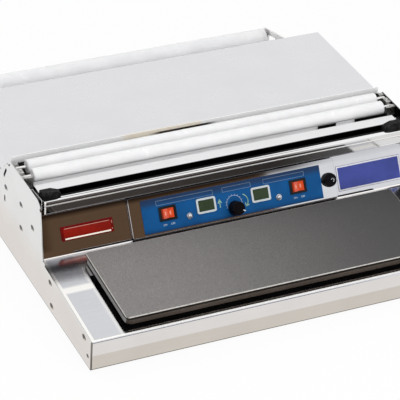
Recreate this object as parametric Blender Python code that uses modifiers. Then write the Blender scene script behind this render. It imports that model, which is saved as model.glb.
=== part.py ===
"""Table-top film wrapping machine in polished sheet steel, one object for each piece.

The origin is on the table under the middle of the machine. +X runs to the right along the
rollers, +Y to the back and +Z up. Sizes are in metres. Depths are measured from the front
wall and heights from the underside of the body.
"""

import math

import bmesh
import bpy
from mathutils import Matrix, Vector

# Sheets, gaps and rounding
SIDE_SHEET = 0.002
PANEL_SHEET = 0.0012
SEAT = 0.0003
OVERRUN = 0.002
BEND_RADIUS = 0.0025
BEND_STEPS = 4
CORNER_STEPS = 6
ROUND_STEPS = 40
SMALL_ROUND_STEPS = 24
MERGE = 0.00001
SMOOTH_ANGLE = math.radians(35)

# Body
WIDTH = 0.590
FOOT_HEIGHT = 0.004
FRONT_HEIGHT = 0.044
DECK_DEPTH = 0.182
DECK_RISE = 0.0142
FASCIA_LENGTH = 0.060
FASCIA_LEAN = math.radians(29.9)
FASCIA_FLANGE = 0.0075
SIDE_EDGE_UPSTAND = 0.001
SIDE_STEEP_SETOUT = 0.0084
SIDE_STEEP_SHARE = 0.18
SIDE_FOOT_RADIUS = 0.008
SIDE_CORNER_RADIUS = 0.018
SIDE_STEP_RADIUS = 0.002
BOTTOM_SHEET = 0.0015

# Hot plate and its well
WELL_SIDE_MARGIN = 0.050
WELL_FRONT_MARGIN = 0.009
WELL_BACK_SHORTFALL = 0.0255
WELL_RADIUS = 0.004
PLATE_SIDE_CLEARANCE = 0.0065
PLATE_FRONT_CLEARANCE = 0.007
PLATE_BACK_CLEARANCE = 0.0185
HOT_PLATE_RISE = 0.015
HOT_PLATE_SHEET = 0.003
HOT_PLATE_CHAMFER = 0.001
HOT_PLATE_RADIUS = 0.006
NECK_HEIGHT = 0.0022
NECK_INSET = 0.004
PAN_HEIGHT = 0.0075
PAN_INSET = 0.0008
PAN_RADIUS = 0.010
TRAY_RIM = 0.0015
TRAY_DEPTH = 0.024
INSULATION_INSET = 0.018

# Rail, slot, rod and film plate
RAIL_SETOUT = 0.0059
RAIL_LIP_RISE = 0.0046
RAIL_FACE = 0.020
RAIL_WIDTH = 0.010
RAIL_BACK_LEG = 0.016
RAIL_HEM_RADIUS = 0.0013
SLOT_WIDTH = 0.011
FILM_PLATE_STEP = 0.0035
FILM_PLATE_WIDTH = 0.022
FILM_PLATE_FRONT_LEG = 0.014
FILM_PLATE_BACK_LEG = 0.010
END_SPACE = 0.0102
END_PLATE_SHEET = 0.0015
END_PLATE_DEPTH = 0.034
END_PLATE_FRONT_DROP = 0.0005
END_PLATE_BACK_DROP = 0.0035
END_STUD_RADIUS = 0.004
END_STUD_SHARES = (0.2, 0.8)
ROD_RADIUS = 0.004
ROD_DROP = 0.0068
ROD_BLOCK_LENGTH = 0.028
ROD_BLOCK_SHOULDER = 0.016
ROD_BLOCK_RISE = 0.0085
ROD_BLOCK_INNER_RISE = 0.004
ROD_BLOCK_DEPTH = 0.0183
ROD_BLOCK_RADIUS = 0.001

# Film rollers
ROLLER_RADIUS = 0.0102
ROLLER_END_CHAMFER = 0.001
ROLLER_GAP = 0.009
ROLLER_PITCH = 0.022
ROLLER_RISE = 0.0055
REAR_ROLLER_STEP = 0.0015
ROLLER_END_SPACE = 0.0117
AXLE_RADIUS = 0.0025
BRACKET_THICKNESS = 0.0075
BRACKET_MARGIN = 0.0102
BRACKET_DEPTH = 0.022
BRACKET_FLANGE = 0.0025
BRACKET_FLANGE_WIDTH = 0.0152
NOTCH_MOUTH = 0.0078
AXLE_END_SPACE = 0.0012
SIDE_OVER_AXIS = 0.0057

# Partition, shelf and rear wall
PARTITION_GAP = 0.003
PARTITION_DROP = 0.010
LIP_GAP = 0.0086
LIP_HEIGHT = 0.0115
LIP_CORNER = 0.003
LIP_RADIUS = 0.0012
SHELF_DROP = 0.0075
SHELF_DEPTH = 0.2025
SHELF_SIDE_SETBACK = 0.001
SHELF_FLANGE = 0.025
SHELF_BACK_FLANGE = 0.016
SHELF_CORNER_RUN = 0.006
SIDE_STEP_RUN = 0.004
REAR_WALL_HEIGHT = 0.088
REAR_WALL_FOLD = 0.012

# Film cradle
TUBE_RADIUS = 0.0145
TUBE_CAP_LENGTH = 0.0055
TUBE_GROOVE = 0.0006
TUBE_SIDE_MARGIN = 0.055
TUBE_SETBACK = 0.0735
TUBE_DROP = 0.0385
TUBE_PITCH = 0.040
TUBE_AXLE_RADIUS = 0.004
ARM_SHEET = 0.003
ARM_END_SPACE = 0.003
ARM_STRAP = 0.0085
ARM_EYE_RADIUS = 0.0075
ARM_TIP_REACH = 0.0095
ARM_TIP_RISE = 0.0085
ARM_TIP_RADIUS = 0.002
ARM_CORNER_RADIUS = 0.0035
ARM_SLOPE_SHARE = 0.236
ARM_FOOT_WIDTH = 0.020
ARM_FOOT_HEIGHT = 0.022
ARM_FOOT_DROP = 0.004
AXLE_HEAD = 0.002

# Feet and cable gland
FOOT_RADIUS = 0.010
FOOT_TAPER = 0.001
FOOT_SIDE_INSET = 0.025
FOOT_END_INSET = 0.022
GLAND_RADIUS = 0.010
GLAND_NECK_RADIUS = 0.007
GLAND_LENGTH = 0.016
GLAND_FLANGE = 0.005
GLAND_BORE = 0.0035
GLAND_BORE_DEPTH = 0.011
GLAND_X = 0.180
GLAND_HEIGHT = 0.030

# Control box and overlay
BOX_LEFT = 0.158
BOX_RIGHT = 0.164
BOX_STAND = 0.0055
BOX_FOOT = 0.002
BOX_RADIUS = 0.003
BOX_EDGE = 0.0006
OVERLAY_WIDTH = 0.280
OVERLAY_FOOT = 0.003
OVERLAY_HEIGHT = 0.0483
OVERLAY_SHEET = 0.0004
OVERLAY_RADIUS = 0.001

# Rocker switches
SWITCH_X = 0.102
SWITCH_HEIGHT = 0.0295
BEZEL_WIDTH = 0.0265
BEZEL_HEIGHT = 0.0205
BEZEL_THICKNESS = 0.0018
BEZEL_RADIUS = 0.0012
BEZEL_EDGE = 0.0006
BODY_RIM = 0.0021
BODY_LENGTH = 0.020
BODY_WALL = 0.0014
CAVITY_DEPTH = 0.0104
ROCKER_CLEARANCE = 0.0003
ROCKER_PIVOT_DEPTH = 0.0035
ROCKER_TOP_ANGLE = math.radians(28)
ROCKER_LOW_ANGLE = math.radians(-35)
ROCKER_VALLEY = 0.0018
ROCKER_TILT = math.radians(9)
ROCKER_PIN_RADIUS = 0.001
ROCKER_PIN_REACH = 0.0007

# Windows and pilot lamps
WINDOW_X = 0.0427
WINDOW_HEIGHT = 0.0295
WINDOW_WIDTH = 0.0296
WINDOW_TALL = 0.0216
WINDOW_FRAME = 0.0028
WINDOW_RADIUS = 0.003
WINDOW_INNER_RADIUS = 0.001
LENS_RADIUS = 0.0008
WINDOW_THICKNESS = 0.0011
LENS_THICKNESS = 0.0007
LAMP_X = 0.070
LAMP_HEIGHT = 0.0195
LAMP_RADIUS = 0.0044
LAMP_DOME = 0.0045
LAMP_FLANGE = 0.0009

# Knob and thermostat
KNOB_X = 0.0004
KNOB_HEIGHT_ON_FACE = 0.0170
KNOB_RADIUS = 0.0108
KNOB_TOP_RADIUS = 0.0096
KNOB_LENGTH = 0.0135
KNOB_LIFT = 0.0010
KNOB_EDGE = 0.0010
KNOB_FLUTES = 12
KNOB_FLUTE_RADIUS = 0.0016
KNOB_FLUTE_DEPTH = 0.0007
SHAFT_RADIUS = 0.003
SHAFT_CLEARANCE = 0.0005
SHAFT_REACH = 0.0060
THERMOSTAT_RADIUS = 0.014
THERMOSTAT_LENGTH = 0.018
THERMOSTAT_BORE_DEPTH = 0.0075

# Fuse holder
FUSE_X = 0.1525
FUSE_HEIGHT_ON_FACE = 0.0292
FUSE_FLANGE_RADIUS = 0.0106
FUSE_FLANGE = 0.0016
FUSE_BODY_RADIUS = 0.0062
FUSE_BODY_LENGTH = 0.028
FUSE_BORE_RADIUS = 0.0040
FUSE_BORE_DEPTH = 0.024
FUSE_CARRIER_RADIUS = 0.0034
FUSE_CARRIER_LENGTH = 0.019
FUSE_CAP_RADIUS = 0.0099
FUSE_CAP_LENGTH = 0.0042
FUSE_CAP_EDGE = 0.0008
FUSE_SLOT_WIDTH = 0.0016
FUSE_SLOT_DEPTH = 0.0015

# Slots in the side plates, as distances from the shelf lip and from the plate's top edge
SIDE_SLOT_WIDTH = 0.0045
HOOK_SLOT_SETBACK = 0.008
HOOK_SLOT_DROP = 0.0205
HOOK_SLOT_LENGTH = 0.014
HOOK_SLOT_LEAN = 0.008
LOW_SLOT_DROP = 0.0672
LOW_SLOT_LENGTH = 0.0065

# Places worked out from the sizes
INNER_HALF = WIDTH / 2 - SIDE_SHEET
PANEL_HALF = INNER_HALF - SEAT
DECK_ANGLE = math.atan2(DECK_RISE, DECK_DEPTH)
DECK_FOOT_Z = FRONT_HEIGHT + DECK_RISE
FASCIA_TOP_Y = DECK_DEPTH + FASCIA_LENGTH * math.sin(FASCIA_LEAN)
FASCIA_TOP_Z = DECK_FOOT_Z + FASCIA_LENGTH * math.cos(FASCIA_LEAN)
RAIL_FACE_Y = FASCIA_TOP_Y - RAIL_SETOUT
RAIL_LIP_Z = FASCIA_TOP_Z + RAIL_LIP_RISE
RAIL_TOP_Z = RAIL_LIP_Z + RAIL_FACE
RAIL_BACK_Y = RAIL_FACE_Y + RAIL_WIDTH
FILM_PLATE_FRONT_Y = RAIL_BACK_Y + SLOT_WIDTH
FILM_PLATE_TOP_Z = RAIL_TOP_Z + FILM_PLATE_STEP
FILM_PLATE_BACK_Y = FILM_PLATE_FRONT_Y + FILM_PLATE_WIDTH
END_PLATE_OUTER = INNER_HALF - END_SPACE
END_PLATE_INNER = END_PLATE_OUTER - END_PLATE_SHEET
RAIL_HALF = END_PLATE_INNER - SEAT
ROLLER_HALF = RAIL_HALF - ROLLER_END_SPACE / 2
FRONT_ROLLER_Y = FILM_PLATE_BACK_Y + ROLLER_GAP + ROLLER_RADIUS
FRONT_ROLLER_Z = RAIL_TOP_Z + ROLLER_RISE
REAR_ROLLER_Y = FRONT_ROLLER_Y + ROLLER_PITCH
REAR_ROLLER_Z = FRONT_ROLLER_Z + REAR_ROLLER_STEP
SIDE_TOP_Z = FRONT_ROLLER_Z + SIDE_OVER_AXIS
LIP_Y = REAR_ROLLER_Y + ROLLER_RADIUS + LIP_GAP
SHELF_TOP_Z = SIDE_TOP_Z - SHELF_DROP
SHELF_BACK_Y = LIP_Y + SHELF_DEPTH
SHELF_HALF = WIDTH / 2 - SHELF_SIDE_SETBACK
PARTITION_Y = FILM_PLATE_BACK_Y + PARTITION_GAP
REAR_TUBE_Y = SHELF_BACK_Y + TUBE_SETBACK
FRONT_TUBE_Y = REAR_TUBE_Y - TUBE_PITCH
TUBE_Z = SHELF_TOP_Z - TUBE_DROP
TUBE_HALF_LENGTH = WIDTH / 2 - TUBE_SIDE_MARGIN
OVERALL_DEPTH = REAR_TUBE_Y + TUBE_RADIUS
WELL_WIDTH = WIDTH - 2 * WELL_SIDE_MARGIN
HOT_PLATE_WIDTH = WELL_WIDTH - 2 * PLATE_SIDE_CLEARANCE
HOT_PLATE_LENGTH = DECK_DEPTH - WELL_FRONT_MARGIN - PLATE_FRONT_CLEARANCE - PLATE_BACK_CLEARANCE
WELL_LENGTH = HOT_PLATE_LENGTH - WELL_BACK_SHORTFALL
WELL_MIDDLE = WELL_FRONT_MARGIN + WELL_LENGTH / 2
PLATE_MIDDLE = WELL_FRONT_MARGIN + PLATE_FRONT_CLEARANCE + HOT_PLATE_LENGTH / 2
FACE_OUT = BOX_STAND + SEAT
OVERLAY_OUT = FACE_OUT + OVERLAY_SHEET
CONTROL_OUT = OVERLAY_OUT + SEAT
BOX_HEIGHT = FASCIA_LENGTH - BOX_FOOT
SWITCH_BODY_WIDTH = BEZEL_WIDTH - 2 * BODY_RIM
SWITCH_BODY_HEIGHT = BEZEL_HEIGHT - 2 * BODY_RIM + ROCKER_PIN_RADIUS
CAVITY_WIDTH = SWITCH_BODY_WIDTH - 2 * BODY_WALL
CAVITY_HEIGHT = SWITCH_BODY_HEIGHT - 2 * BODY_WALL
ROCKER_RADIUS = CAVITY_WIDTH / 2 - ROCKER_CLEARANCE
FUSE_BODY_OUT = FACE_OUT + SEAT
FUSE_CAP_OUT = FUSE_BODY_OUT + FUSE_FLANGE + SEAT
FUSE_CARRIER_OUT = FUSE_CAP_OUT - SEAT

# Turns that lay an outline or a turned piece in its plane
SIDE_TURN = (math.pi / 2, 0, math.pi / 2)
ALONG_X = (0, math.pi / 2, 0)
ALONG_BACK = (-math.pi / 2, 0, 0)
FACE_TURN = (math.pi / 2, 0, 0)
ROCKER_TURN = (math.pi, 0, 0)

# Colours
STEEL = (0.62, 0.62, 0.63)
STEEL_DARK = (0.42, 0.41, 0.40)
PALE_STEEL = (0.72, 0.72, 0.73)
PLATE_GREY = (0.20, 0.19, 0.18)
WHITE = (0.85, 0.85, 0.85)
BLACK = (0.02, 0.02, 0.02)
RUBBER_BLACK = (0.03, 0.03, 0.03)
ROD_BLACK = (0.015, 0.015, 0.015)
WOOL = (0.75, 0.72, 0.65)
OVERLAY_BLUE = (0.02, 0.10, 0.30)
LAMP_RED = (0.70, 0.03, 0.01)
LENS_GREEN = (0.05, 0.07, 0.03)
CHROME = (0.80, 0.80, 0.82)
BRASS = (0.65, 0.50, 0.20)


def clear_scene():
    """Take every object out of the scene."""
    for thing in list(bpy.data.objects):
        bpy.data.objects.remove(thing, do_unlink=True)


def new_collection(name):
    """A collection in the scene."""
    collection = bpy.data.collections.new(name)
    bpy.context.scene.collection.children.link(collection)
    return collection


clear_scene()
PARTS = new_collection("film_wrapping_machine")
CUTTERS = new_collection("cutters")


def material(name, colour, roughness, metallic=0.0):
    """A plain Principled material, made once for each name."""
    found = bpy.data.materials.get(name)
    if found:
        return found
    made = bpy.data.materials.new(name)
    made.use_nodes = True
    shader = made.node_tree.nodes["Principled BSDF"]
    shader.inputs["Base Color"].default_value = (*colour, 1)
    shader.inputs["Roughness"].default_value = roughness
    shader.inputs["Metallic"].default_value = metallic
    return made


def polished_steel():
    return material("polished_steel", STEEL, 0.12, 1.0)


def dull_steel():
    return material("dull_steel", STEEL_DARK, 0.35, 1.0)


def chrome():
    return material("chrome", CHROME, 0.08, 1.0)


def white_plastic():
    return material("white_plastic", WHITE, 0.35)


def black_paint():
    return material("black_paint", BLACK, 0.6)


def black_plastic():
    return material("black_plastic", BLACK, 0.35)


def place(thing, parent, location=(0, 0, 0), rotation=(0, 0, 0), collection=PARTS):
    """Link an object, hang it on its parent and set its place there."""
    collection.objects.link(thing)
    thing.parent = parent
    thing.location = location
    thing.rotation_euler = rotation
    return thing


def piece(name, mesh, look, parent, location=(0, 0, 0), rotation=(0, 0, 0)):
    """A named piece with its own material."""
    thing = bpy.data.objects.new(name, mesh)
    mesh.materials.clear()
    mesh.materials.append(look)
    return place(thing, parent, location, rotation)


def frame(name, parent, location=(0, 0, 0), rotation=(0, 0, 0)):
    """An empty that carries pieces."""
    return place(bpy.data.objects.new(name, None), parent, location, rotation)


def mesh_from(bm, name):
    """A mesh taken from a finished bmesh, with round parts shaded smooth."""
    bmesh.ops.recalc_face_normals(bm, faces=bm.faces)
    mesh = bpy.data.meshes.new(name)
    bm.to_mesh(mesh)
    bm.free()
    mesh.shade_smooth()
    mesh.set_sharp_from_angle(angle=SMOOTH_ANGLE)
    return mesh


def scaled_cube(size):
    """A cube of the given size that stands on its own origin."""
    bm = bmesh.new()
    bmesh.ops.create_cube(bm, size=1.0, matrix=Matrix.Diagonal((*size, 1)))
    bmesh.ops.translate(bm, verts=bm.verts, vec=(0, 0, size[2] / 2))
    return bm


def upright_edges(bm):
    """Edges that run along Z."""
    return [e for e in bm.edges if (e.verts[0].co - e.verts[1].co).xy.length < MERGE]


def top_faces(bm):
    """Faces at the highest level."""
    top = max(v.co.z for v in bm.verts)
    return [f for f in bm.faces if all(abs(v.co.z - top) < MERGE for v in f.verts)]


def block(name, size, corner=0.0, chamfer=0.0, chamfer_steps=1):
    """A block that stands on its origin, with round upright corners and an eased top edge."""
    bm = scaled_cube(size)
    if corner > 0:
        bmesh.ops.bevel(bm, geom=upright_edges(bm), offset=corner, segments=CORNER_STEPS,
                        affect="EDGES", profile=0.5, material=-1)
    if chamfer > 0:
        rim = {e for f in top_faces(bm) for e in f.edges}
        bmesh.ops.bevel(bm, geom=list(rim), offset=chamfer, segments=chamfer_steps,
                        affect="EDGES", profile=0.5, material=-1)
    return mesh_from(bm, name)


def rod(name, radius, length, steps=SMALL_ROUND_STEPS):
    """A plain round bar along Z, centred on its origin."""
    bm = bmesh.new()
    bmesh.ops.create_cone(bm, cap_ends=True, segments=steps, radius1=radius, radius2=radius, depth=length)
    return mesh_from(bm, name)


def turned(name, profile, look, parent, location, rotation, steps=SMALL_ROUND_STEPS, closed=False):
    """A turned piece: the profile, as radius and height, runs down its outer side."""
    bm = bmesh.new()
    points = [bm.verts.new((radius, 0, height)) for radius, height in profile]
    for first, second in zip(points, points[1:]):
        bm.edges.new((first, second))
    if closed:
        bm.edges.new((points[-1], points[0]))
    mesh = bpy.data.meshes.new(name)
    bm.to_mesh(mesh)
    bm.free()
    thing = piece(name, mesh, look, parent, location, rotation)
    screw = thing.modifiers.new("turn", "SCREW")
    screw.steps = steps
    screw.render_steps = steps
    screw.use_merge_vertices = True
    screw.merge_threshold = MERGE
    screw.use_smooth_shade = True
    return thing


def round_corner(before, corner, after, radius, steps):
    """Points of a round corner between two straight runs."""
    back = (before - corner).normalized()
    ahead = (after - corner).normalized()
    half = back.angle(ahead) / 2
    centre = corner + (back + ahead).normalized() * radius / math.sin(half)
    start = corner + back * radius / math.tan(half) - centre
    end = corner + ahead * radius / math.tan(half) - centre
    first = math.atan2(start.y, start.x)
    sweep = (math.atan2(end.y, end.x) - first + math.pi) % (2 * math.pi) - math.pi
    angles = [first + sweep * step / steps for step in range(steps + 1)]
    return [centre + radius * Vector((math.cos(angle), math.sin(angle))) for angle in angles]


def rounded(corners, closed, steps=BEND_STEPS):
    """Points of a line or an outline whose corners are given as across, up and radius."""
    places = [Vector(corner[:2]) for corner in corners]
    last = len(corners) - 1
    points = []
    for index, corner in enumerate(corners):
        at_end = not closed and index in (0, last)
        if corner[2] == 0 or at_end:
            points.append(places[index])
        else:
            before = places[index - 1]
            after = places[(index + 1) % len(corners)]
            points.extend(round_corner(before, places[index], after, corner[2], steps))
    return points


def circle_points(across, up, radius, steps=SMALL_ROUND_STEPS):
    """Points of a circle."""
    angles = [2 * math.pi * step / steps for step in range(steps)]
    return [Vector((across + radius * math.cos(a), up + radius * math.sin(a))) for a in angles]


def box_points(width, height, radius=0.0):
    """Points of a rectangle about its middle."""
    corners = [(-width / 2, -height / 2, radius), (width / 2, -height / 2, radius),
               (width / 2, height / 2, radius), (-width / 2, height / 2, radius)]
    return rounded(corners, True, CORNER_STEPS)


def shifted(points, across, up):
    """The same points moved in their plane."""
    return [point + Vector((across, up)) for point in points]


def outline(name, loops, thickness):
    """A flat plate from closed loops, the first its edge and the others its holes."""
    curve = bpy.data.curves.new(name, "CURVE")
    curve.dimensions = "2D"
    curve.fill_mode = "BOTH"
    curve.extrude = thickness / 2
    for loop in loops:
        spline = curve.splines.new("POLY")
        spline.points.add(len(loop) - 1)
        spline.use_cyclic_u = True
        for point, place_2d in zip(spline.points, loop):
            point.co = (place_2d.x, place_2d.y, 0, 1)
    thing = bpy.data.objects.new(name, curve)
    CUTTERS.objects.link(thing)
    bpy.context.view_layer.update()
    evaluated = thing.evaluated_get(bpy.context.evaluated_depsgraph_get())
    drawn = bpy.data.meshes.new_from_object(evaluated)
    bpy.data.objects.remove(thing, do_unlink=True)
    bm = bmesh.new()
    bm.from_mesh(drawn)
    bmesh.ops.remove_doubles(bm, verts=bm.verts, dist=MERGE)
    return mesh_from(bm, name)


def folded_sheet(name, corners, half_width, thickness, outside, look, parent):
    """A sheet folded along X: its outer line as depth, height and bend radius."""
    line = rounded(corners, False)
    bm = bmesh.new()
    verts = [bm.verts.new((-half_width, point.x, point.y)) for point in line]
    edges = [bm.edges.new(pair) for pair in zip(verts, verts[1:])]
    grown = bmesh.ops.extrude_edge_only(bm, edges=edges)["geom"]
    moved = [item for item in grown if isinstance(item, bmesh.types.BMVert)]
    bmesh.ops.translate(bm, verts=moved, vec=(2 * half_width, 0, 0))
    bmesh.ops.recalc_face_normals(bm, faces=bm.faces)
    first_run = verts[0].link_faces[0]
    if first_run.normal.dot(Vector(outside)) < 0:
        bmesh.ops.reverse_faces(bm, faces=bm.faces)
    mesh = bpy.data.meshes.new(name)
    bm.to_mesh(mesh)
    bm.free()
    thing = piece(name, mesh, look, parent)
    shell = thing.modifiers.new("sheet", "SOLIDIFY")
    shell.thickness = thickness
    shell.offset = -1
    shell.use_even_offset = True
    return thing


def cutter(name, mesh, parent, location=(0, 0, 0), rotation=(0, 0, 0)):
    """A hidden shape that is taken from a piece or joined to it."""
    thing = bpy.data.objects.new(name, mesh)
    thing.hide_render = True
    thing.display_type = "WIRE"
    return place(thing, parent, location, rotation, CUTTERS)


def combine(thing, tool, operation):
    """Boolean of a piece and a cutter."""
    step = thing.modifiers.new(tool.name, "BOOLEAN")
    step.operation = operation
    step.object = tool
    step.solver = "EXACT"


def cut(thing, *tools):
    for tool in tools:
        combine(thing, tool, "DIFFERENCE")


def join(thing, *tools):
    for tool in tools:
        combine(thing, tool, "UNION")


def on_face(across, up, out=0.0):
    """A place on the fascia, with its distance out from the sheet."""
    return (across, -out, up)


def box_on_face(name, width, height, out, depth, across, up, corner=0.0):
    """A cutter block through the fascia whose outer end lies at the given distance out."""
    mesh = block(name, (width, height, depth), corner)
    return cutter(name, mesh, FASCIA, on_face(across, up, out - depth), FACE_TURN)


def bore_on_face(name, radius, out, depth, across, up):
    """A round cutter through the fascia whose outer end lies at the given distance out."""
    mesh = rod(name, radius, depth)
    return cutter(name, mesh, FASCIA, on_face(across, up, out - depth / 2), FACE_TURN)


# Frames: the body, the sloping deck and the leaning fascia
MACHINE = frame("machine", None, (0, -OVERALL_DEPTH / 2, FOOT_HEIGHT))
DECK = frame("deck_frame", MACHINE, (0, 0, FRONT_HEIGHT), (DECK_ANGLE, 0, 0))
FASCIA = frame("fascia_frame", MACHINE, (0, DECK_DEPTH, DECK_FOOT_Z), (-FASCIA_LEAN, 0, 0))


def slot_points(start, end, width):
    """Points of a slot with round ends between two places."""
    along = (end - start).normalized()
    across = Vector((-along.y, along.x)) * width / 2
    first = math.atan2(across.y, across.x)
    turns = [math.pi * step / CORNER_STEPS for step in range(CORNER_STEPS + 1)]
    half = [start + width / 2 * Vector((math.cos(first + t), math.sin(first + t))) for t in turns]
    other = [end - width / 2 * Vector((math.cos(first + t), math.sin(first + t))) for t in turns]
    return half + other


def side_plate_edge():
    """Outline of a side plate as depth, height and corner radius."""
    edge_front = FRONT_HEIGHT + SIDE_EDGE_UPSTAND
    slope = DECK_RISE / DECK_DEPTH
    steep_foot = DECK_DEPTH - SIDE_STEEP_SETOUT
    steep_foot_z = edge_front + slope * steep_foot
    steep_top = steep_foot + SIDE_STEEP_SHARE * (SIDE_TOP_Z - steep_foot_z)
    step_y = LIP_Y - LIP_GAP
    rest_z = SHELF_TOP_Z - PANEL_SHEET - SEAT
    flange_y = LIP_Y + SHELF_CORNER_RUN
    flange_z = SHELF_TOP_Z - SHELF_FLANGE - SEAT
    return [
        (0, 0, 0),
        (0, edge_front, 0),
        (steep_foot, steep_foot_z, SIDE_FOOT_RADIUS),
        (steep_top, SIDE_TOP_Z, SIDE_CORNER_RADIUS),
        (step_y, SIDE_TOP_Z, SIDE_STEP_RADIUS),
        (step_y + SIDE_STEP_RUN, rest_z, 0),
        (flange_y - SEAT, rest_z, 0),
        (flange_y + SHELF_FLANGE - PANEL_SHEET - SEAT, flange_z, 0),
        (SHELF_BACK_Y, flange_z, 0),
        (SHELF_BACK_Y, 0, 0),
    ]


def side_plates():
    """The two flat side plates with their hook slot and low slot."""
    edge = rounded(side_plate_edge(), True, CORNER_STEPS)
    hook_top = Vector((LIP_Y + HOOK_SLOT_SETBACK, SIDE_TOP_Z - HOOK_SLOT_DROP))
    hook_foot = hook_top + Vector((HOOK_SLOT_LEAN, -HOOK_SLOT_LENGTH))
    low_top = Vector((hook_top.x + SIDE_SLOT_WIDTH, SIDE_TOP_Z - LOW_SLOT_DROP))
    low_foot = low_top - Vector((0, LOW_SLOT_LENGTH))
    holes = [slot_points(hook_top, hook_foot, SIDE_SLOT_WIDTH),
             slot_points(low_top, low_foot, SIDE_SLOT_WIDTH)]
    middle = INNER_HALF + SIDE_SHEET / 2
    for name, side in (("left", -1), ("right", 1)):
        mesh = outline("side_plate_" + name, [edge, *holes], SIDE_SHEET)
        piece("side_plate_" + name, mesh, polished_steel(), MACHINE, (side * middle, 0, 0), SIDE_TURN)


def bottom_plate():
    """The flat bottom between the front wall and the rear wall."""
    front = PANEL_SHEET + SEAT
    back = SHELF_BACK_Y - PANEL_SHEET - SEAT
    size = (2 * PANEL_HALF, back - front, BOTTOM_SHEET)
    piece("bottom_plate", block("bottom_plate", size), dull_steel(), MACHINE, (0, (front + back) / 2, 0))


def deck_panel(face_cutters):
    """Front wall, deck and fascia folded from one sheet, with the well and the panel holes."""
    corners = [
        (0, 0, 0),
        (0, FRONT_HEIGHT, BEND_RADIUS),
        (DECK_DEPTH, DECK_FOOT_Z, BEND_RADIUS),
        (FASCIA_TOP_Y, FASCIA_TOP_Z, BEND_RADIUS),
        (FASCIA_TOP_Y, FASCIA_TOP_Z + FASCIA_FLANGE, 0),
    ]
    panel = folded_sheet("deck_panel", corners, PANEL_HALF, PANEL_SHEET, (0, -1, 0), polished_steel(), MACHINE)
    depth = PANEL_SHEET + 2 * OVERRUN
    mesh = block("well_cutter", (WELL_WIDTH, WELL_LENGTH, depth), WELL_RADIUS)
    well = cutter("well_cutter", mesh, DECK, (0, WELL_MIDDLE, -depth + OVERRUN))
    cut(panel, well, *face_cutters)


def well_tray():
    """The open tray under the deck that holds the heater."""
    bm = scaled_cube((WELL_WIDTH + 2 * TRAY_RIM, WELL_LENGTH + 2 * TRAY_RIM, TRAY_DEPTH))
    bmesh.ops.delete(bm, geom=top_faces(bm), context="FACES_ONLY")
    mesh = mesh_from(bm, "well_tray")
    top = -PANEL_SHEET - SEAT
    tray = piece("well_tray", mesh, black_paint(), DECK, (0, WELL_MIDDLE, top - TRAY_DEPTH))
    shell = tray.modifiers.new("sheet", "SOLIDIFY")
    shell.thickness = PANEL_SHEET
    shell.offset = -1
    shell.use_even_offset = True


def hot_plate():
    """The coated plate: a chamfered slab on a set-back neck."""
    size = (HOT_PLATE_WIDTH, HOT_PLATE_LENGTH, HOT_PLATE_SHEET)
    bm = scaled_cube(size)
    bmesh.ops.bevel(bm, geom=upright_edges(bm), offset=HOT_PLATE_RADIUS, segments=CORNER_STEPS,
                    affect="EDGES", profile=0.5, material=-1)
    rim = {e for f in top_faces(bm) for e in f.edges}
    bmesh.ops.bevel(bm, geom=list(rim), offset=HOT_PLATE_CHAMFER, segments=1,
                    affect="EDGES", profile=0.5, material=-1)
    under = [f for f in bm.faces if all(abs(v.co.z) < MERGE for v in f.verts)]
    bmesh.ops.inset_region(bm, faces=under, thickness=NECK_INSET)
    lower = bmesh.ops.extrude_face_region(bm, geom=under)["geom"]
    moved = [item for item in lower if isinstance(item, bmesh.types.BMVert)]
    bmesh.ops.translate(bm, verts=moved, vec=(0, 0, -NECK_HEIGHT))
    bmesh.ops.delete(bm, geom=under, context="FACES_ONLY")
    look = material("hot_plate_coating", PLATE_GREY, 0.45, 0.3)
    base = HOT_PLATE_RISE - HOT_PLATE_SHEET
    piece("hot_plate", mesh_from(bm, "hot_plate"), look, DECK, (0, PLATE_MIDDLE, base))


def heater():
    """The pan that carries the hot plate and the insulation below it."""
    pan_top = HOT_PLATE_RISE - HOT_PLATE_SHEET - NECK_HEIGHT - SEAT
    pan_foot = pan_top - PAN_HEIGHT
    size = (HOT_PLATE_WIDTH - 2 * PAN_INSET, HOT_PLATE_LENGTH - 2 * PAN_INSET, PAN_HEIGHT)
    pan = block("heater_pan", size, PAN_RADIUS)
    piece("heater_pan", pan, dull_steel(), DECK, (0, PLATE_MIDDLE, pan_foot))
    floor = -PANEL_SHEET - SEAT - TRAY_DEPTH + PANEL_SHEET + SEAT
    size = (WELL_WIDTH - 2 * INSULATION_INSET, WELL_LENGTH - 2 * INSULATION_INSET, pan_foot - SEAT - floor)
    wool = material("insulation", WOOL, 0.9)
    piece("heater_insulation", block("heater_insulation", size), wool, DECK, (0, WELL_MIDDLE, floor))


def rail():
    """The folded channel along the front of the slot."""
    hem_back = FASCIA_TOP_Y - SEAT
    corners = [
        (hem_back, RAIL_LIP_Z, 0),
        (RAIL_FACE_Y, RAIL_LIP_Z, RAIL_HEM_RADIUS),
        (RAIL_FACE_Y, RAIL_TOP_Z, BEND_RADIUS),
        (RAIL_BACK_Y, RAIL_TOP_Z, BEND_RADIUS),
        (RAIL_BACK_Y, RAIL_TOP_Z - RAIL_BACK_LEG, 0),
    ]
    folded_sheet("rail", corners, RAIL_HALF, PANEL_SHEET, (0, 0, -1), chrome(), MACHINE)


def film_plate():
    """The folded channel behind the slot, over which the film runs."""
    corners = [
        (FILM_PLATE_FRONT_Y, FILM_PLATE_TOP_Z - FILM_PLATE_FRONT_LEG, 0),
        (FILM_PLATE_FRONT_Y, FILM_PLATE_TOP_Z, BEND_RADIUS),
        (FILM_PLATE_BACK_Y, FILM_PLATE_TOP_Z, BEND_RADIUS),
        (FILM_PLATE_BACK_Y, FILM_PLATE_TOP_Z - FILM_PLATE_BACK_LEG, 0),
    ]
    folded_sheet("film_plate", corners, RAIL_HALF, PANEL_SHEET, (0, -1, 0), polished_steel(), MACHINE)


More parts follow.
